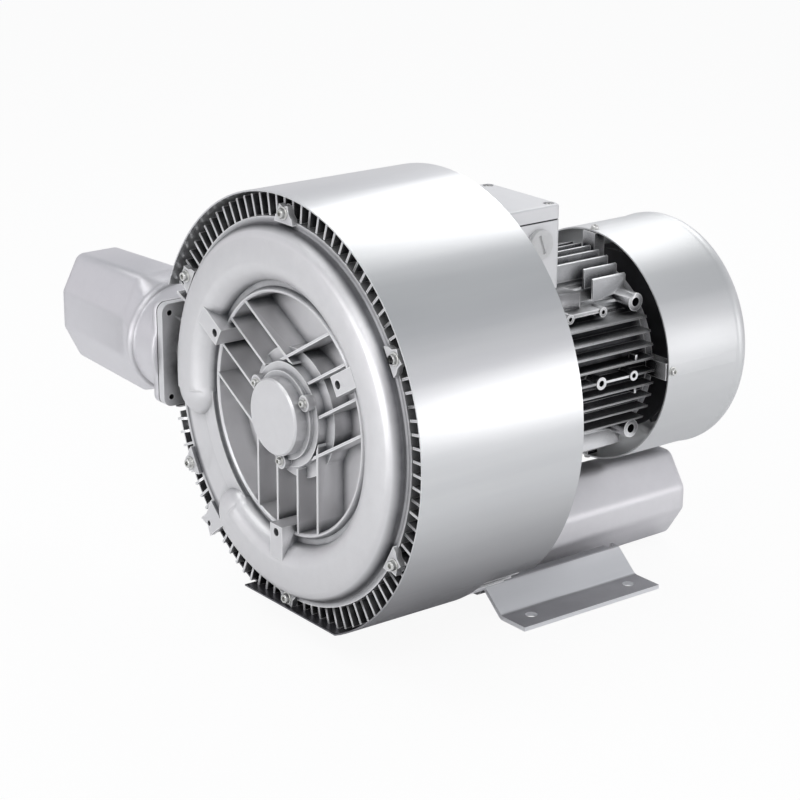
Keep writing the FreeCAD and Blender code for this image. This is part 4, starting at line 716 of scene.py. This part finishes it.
def pipe_thread(name, mouth, inward):
    """A closed ring whose bore carries one helical V thread, running in from the mouth."""
    axis = Vector(inward)
    side = axis.orthogonal().normalized()
    other = axis.cross(side)
    outer = THREAD_R - THREAD_FIT
    work = bmesh.new()

    def ring_at(depth_in, phase=None):
        """A ring round the bore: plain, or with the thread's height at this phase."""
        ring = []
        for i in range(THREAD_STEPS):
            a = 2 * math.pi * i / THREAD_STEPS
            reach = outer
            if phase is not None:
                reach -= THREAD_WALL + THREAD_DEPTH * abs(
                    ((phase + i / THREAD_STEPS) % 1.0) * 2 - 1)
            ring.append(work.verts.new(mouth + axis * depth_in + side * (reach * math.cos(a))
                                       + other * (reach * math.sin(a))))
        return ring

    rings = [ring_at(THREAD_LENGTH - THREAD_EDGE)]
    for row in range(int(THREAD_LENGTH / THREAD_PITCH) * ROWS_A_TURN, -1, -1):
        rings.append(ring_at(THREAD_START + row * THREAD_PITCH / ROWS_A_TURN, row / ROWS_A_TURN))
    rings.append(ring_at(THREAD_EDGE))
    rings.append(rings[0])
    join_rings(work, rings)
    mesh = finished_mesh(work, name)
    mesh.materials.append(silencer_paint)
    piece = in_scene(name, mesh)
    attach(piece, "casing")


pipe_thread("inlet_thread", at(INLET_END, INLET_Y, INLET_Z), (1, 0, 0))
pipe_thread("outlet_thread", at(OUTLET_X, OUTLET_END, OUTLET_Z), (0, -1, 0))


# Camera, light and floor

CAMERA_AT = (1.7888, -1.5200, 0.9707)
CAMERA_AZIMUTH, CAMERA_ELEVATION, CAMERA_ROLL = 52.42, 18.49, 0.29
TARGET = Vector((0.0, -0.05, 0.22))
# name, direction from the target, distance, width, height, watts
LAMPS = (("overhead", (-0.30, 0.60, 0.74), 2.2, 1.4, 1.0, 12.5),
         ("right_rear", (0.80, 0.60, 0.055), 2.3, 0.7, 0.66, 5.2),
         ("front_left", (0.0, -1.0, 0.06), 2.4, 1.6, 0.8, 13),
         ("front_top", (-0.34, -0.46, 0.82), 2.3, 1.3, 0.8, 6.5),
         ("front_right", (0.42, -0.62, 0.62), 2.4, 1.8, 1.0, 14))
# height of the direction and colour of the light from there
SKY = ((0.05, (0.80, 0.79, 0.82)), (0.38, (0.72, 0.72, 0.75)), (0.66, (0.40, 0.42, 0.44)),
       (1.0, (0.42, 0.43, 0.44)))
FLOOR_HALF, FLOOR_DROP = 6.0, -0.0005
FLOOR_DARK, FLOOR_LIGHT, FLOOR_SHOWN_WHITE = (0.91, 0.91, 0.91), (0.94, 0.94, 0.94), 0.93


def look(az, el, roll):
    """The camera's turn: where it looks, tipped down by the elevation, and rolled."""
    a, e, r = math.radians(az), math.radians(el), math.radians(roll)
    forward = Vector((-math.sin(a) * math.cos(e), math.cos(a) * math.cos(e), -math.sin(e)))
    level = Vector((math.cos(a), math.sin(a), 0))
    upright = level.cross(forward)
    right = level * math.cos(r) + upright * math.sin(r)
    up = upright * math.cos(r) - level * math.sin(r)
    return Matrix((right, up, -forward)).transposed()


camera_data = bpy.data.cameras.new("camera")
camera_data.sensor_width = 36.0
camera_data.lens = 107.4
camera_data.clip_end = 50.0
camera = in_scene("camera", camera_data)
camera.matrix_world = Matrix.Translation(CAMERA_AT) @ look(
    CAMERA_AZIMUTH, CAMERA_ELEVATION, CAMERA_ROLL).to_4x4()
bpy.context.scene.camera = camera


def softbox(name, direction, distance, width, height, power):
    data = bpy.data.lights.new(name, "AREA")
    data.shape = "RECTANGLE"
    data.size = width
    data.size_y = height
    data.energy = power
    lamp = in_scene(name, data)
    away = Vector(direction).normalized()
    lamp.location = TARGET + away * distance
    lamp.rotation_euler = away.to_track_quat("Z", "Y").to_euler()


for lamp_values in LAMPS:
    softbox(*lamp_values)


def make_world():
    """A studio that is white to the camera and softly graded to the object."""
    world = bpy.data.worlds.new("studio")
    bpy.context.scene.world = world
    world.use_nodes = True
    tree = world.node_tree
    tree.nodes.clear()
    rays = node(tree, "ShaderNodeLightPath")
    seen = node(tree, "ShaderNodeBackground")
    seen.inputs["Color"].default_value = (1, 1, 1, 1)
    seen.inputs["Strength"].default_value = 1.0
    ambient = node(tree, "ShaderNodeBackground")
    sky = node(tree, "ShaderNodeSeparateXYZ")
    link(tree, node(tree, "ShaderNodeTexCoord").outputs["Generated"], sky.inputs[0])
    link(tree, ramp(tree, sky.outputs["Z"], SKY), ambient.inputs["Color"])
    chosen = node(tree, "ShaderNodeMixShader")
    link(tree, rays.outputs["Is Camera Ray"], chosen.inputs["Fac"])
    link(tree, ambient.outputs[0], chosen.inputs[1])
    link(tree, seen.outputs[0], chosen.inputs[2])
    link(tree, chosen.outputs[0], node(tree, "ShaderNodeOutputWorld").inputs["Surface"])


def make_floor():
    """Pale floor, white to the camera apart from the machine's own soft shadow."""
    mesh = bpy.data.meshes.new("floor")
    corners = ((-1, -1), (1, -1), (1, 1), (-1, 1))
    mesh.from_pydata([(x * FLOOR_HALF, y * FLOOR_HALF, FLOOR_DROP) for x, y in corners], [],
                     [(0, 1, 2, 3)])
    floor = in_scene("floor", mesh)
    material, tree, surface, place = start_material("floor_white")
    cloudy = noise(tree, place, 3.0, 2.0)
    link(tree, colour_between(tree, cloudy, FLOOR_DARK, FLOOR_LIGHT), surface.inputs["Base Color"])
    surface.inputs["Roughness"].default_value = 0.9
    glow = node(tree, "ShaderNodeEmission")
    glow.inputs["Strength"].default_value = 1.0
    rays = node(tree, "ShaderNodeLightPath")
    shown = node(tree, "ShaderNodeMixShader")
    share = math_node(tree, "MULTIPLY", rays.outputs["Is Camera Ray"], FLOOR_SHOWN_WHITE)
    link(tree, share, shown.inputs["Fac"])
    link(tree, surface.outputs[0], shown.inputs[1])
    link(tree, glow.outputs[0], shown.inputs[2])
    link(tree, shown.outputs[0], tree.nodes["Material Output"].inputs["Surface"])
    mesh.materials.append(material)


make_world()
make_floor()
bpy.context.scene.view_settings.view_transform = "Standard"
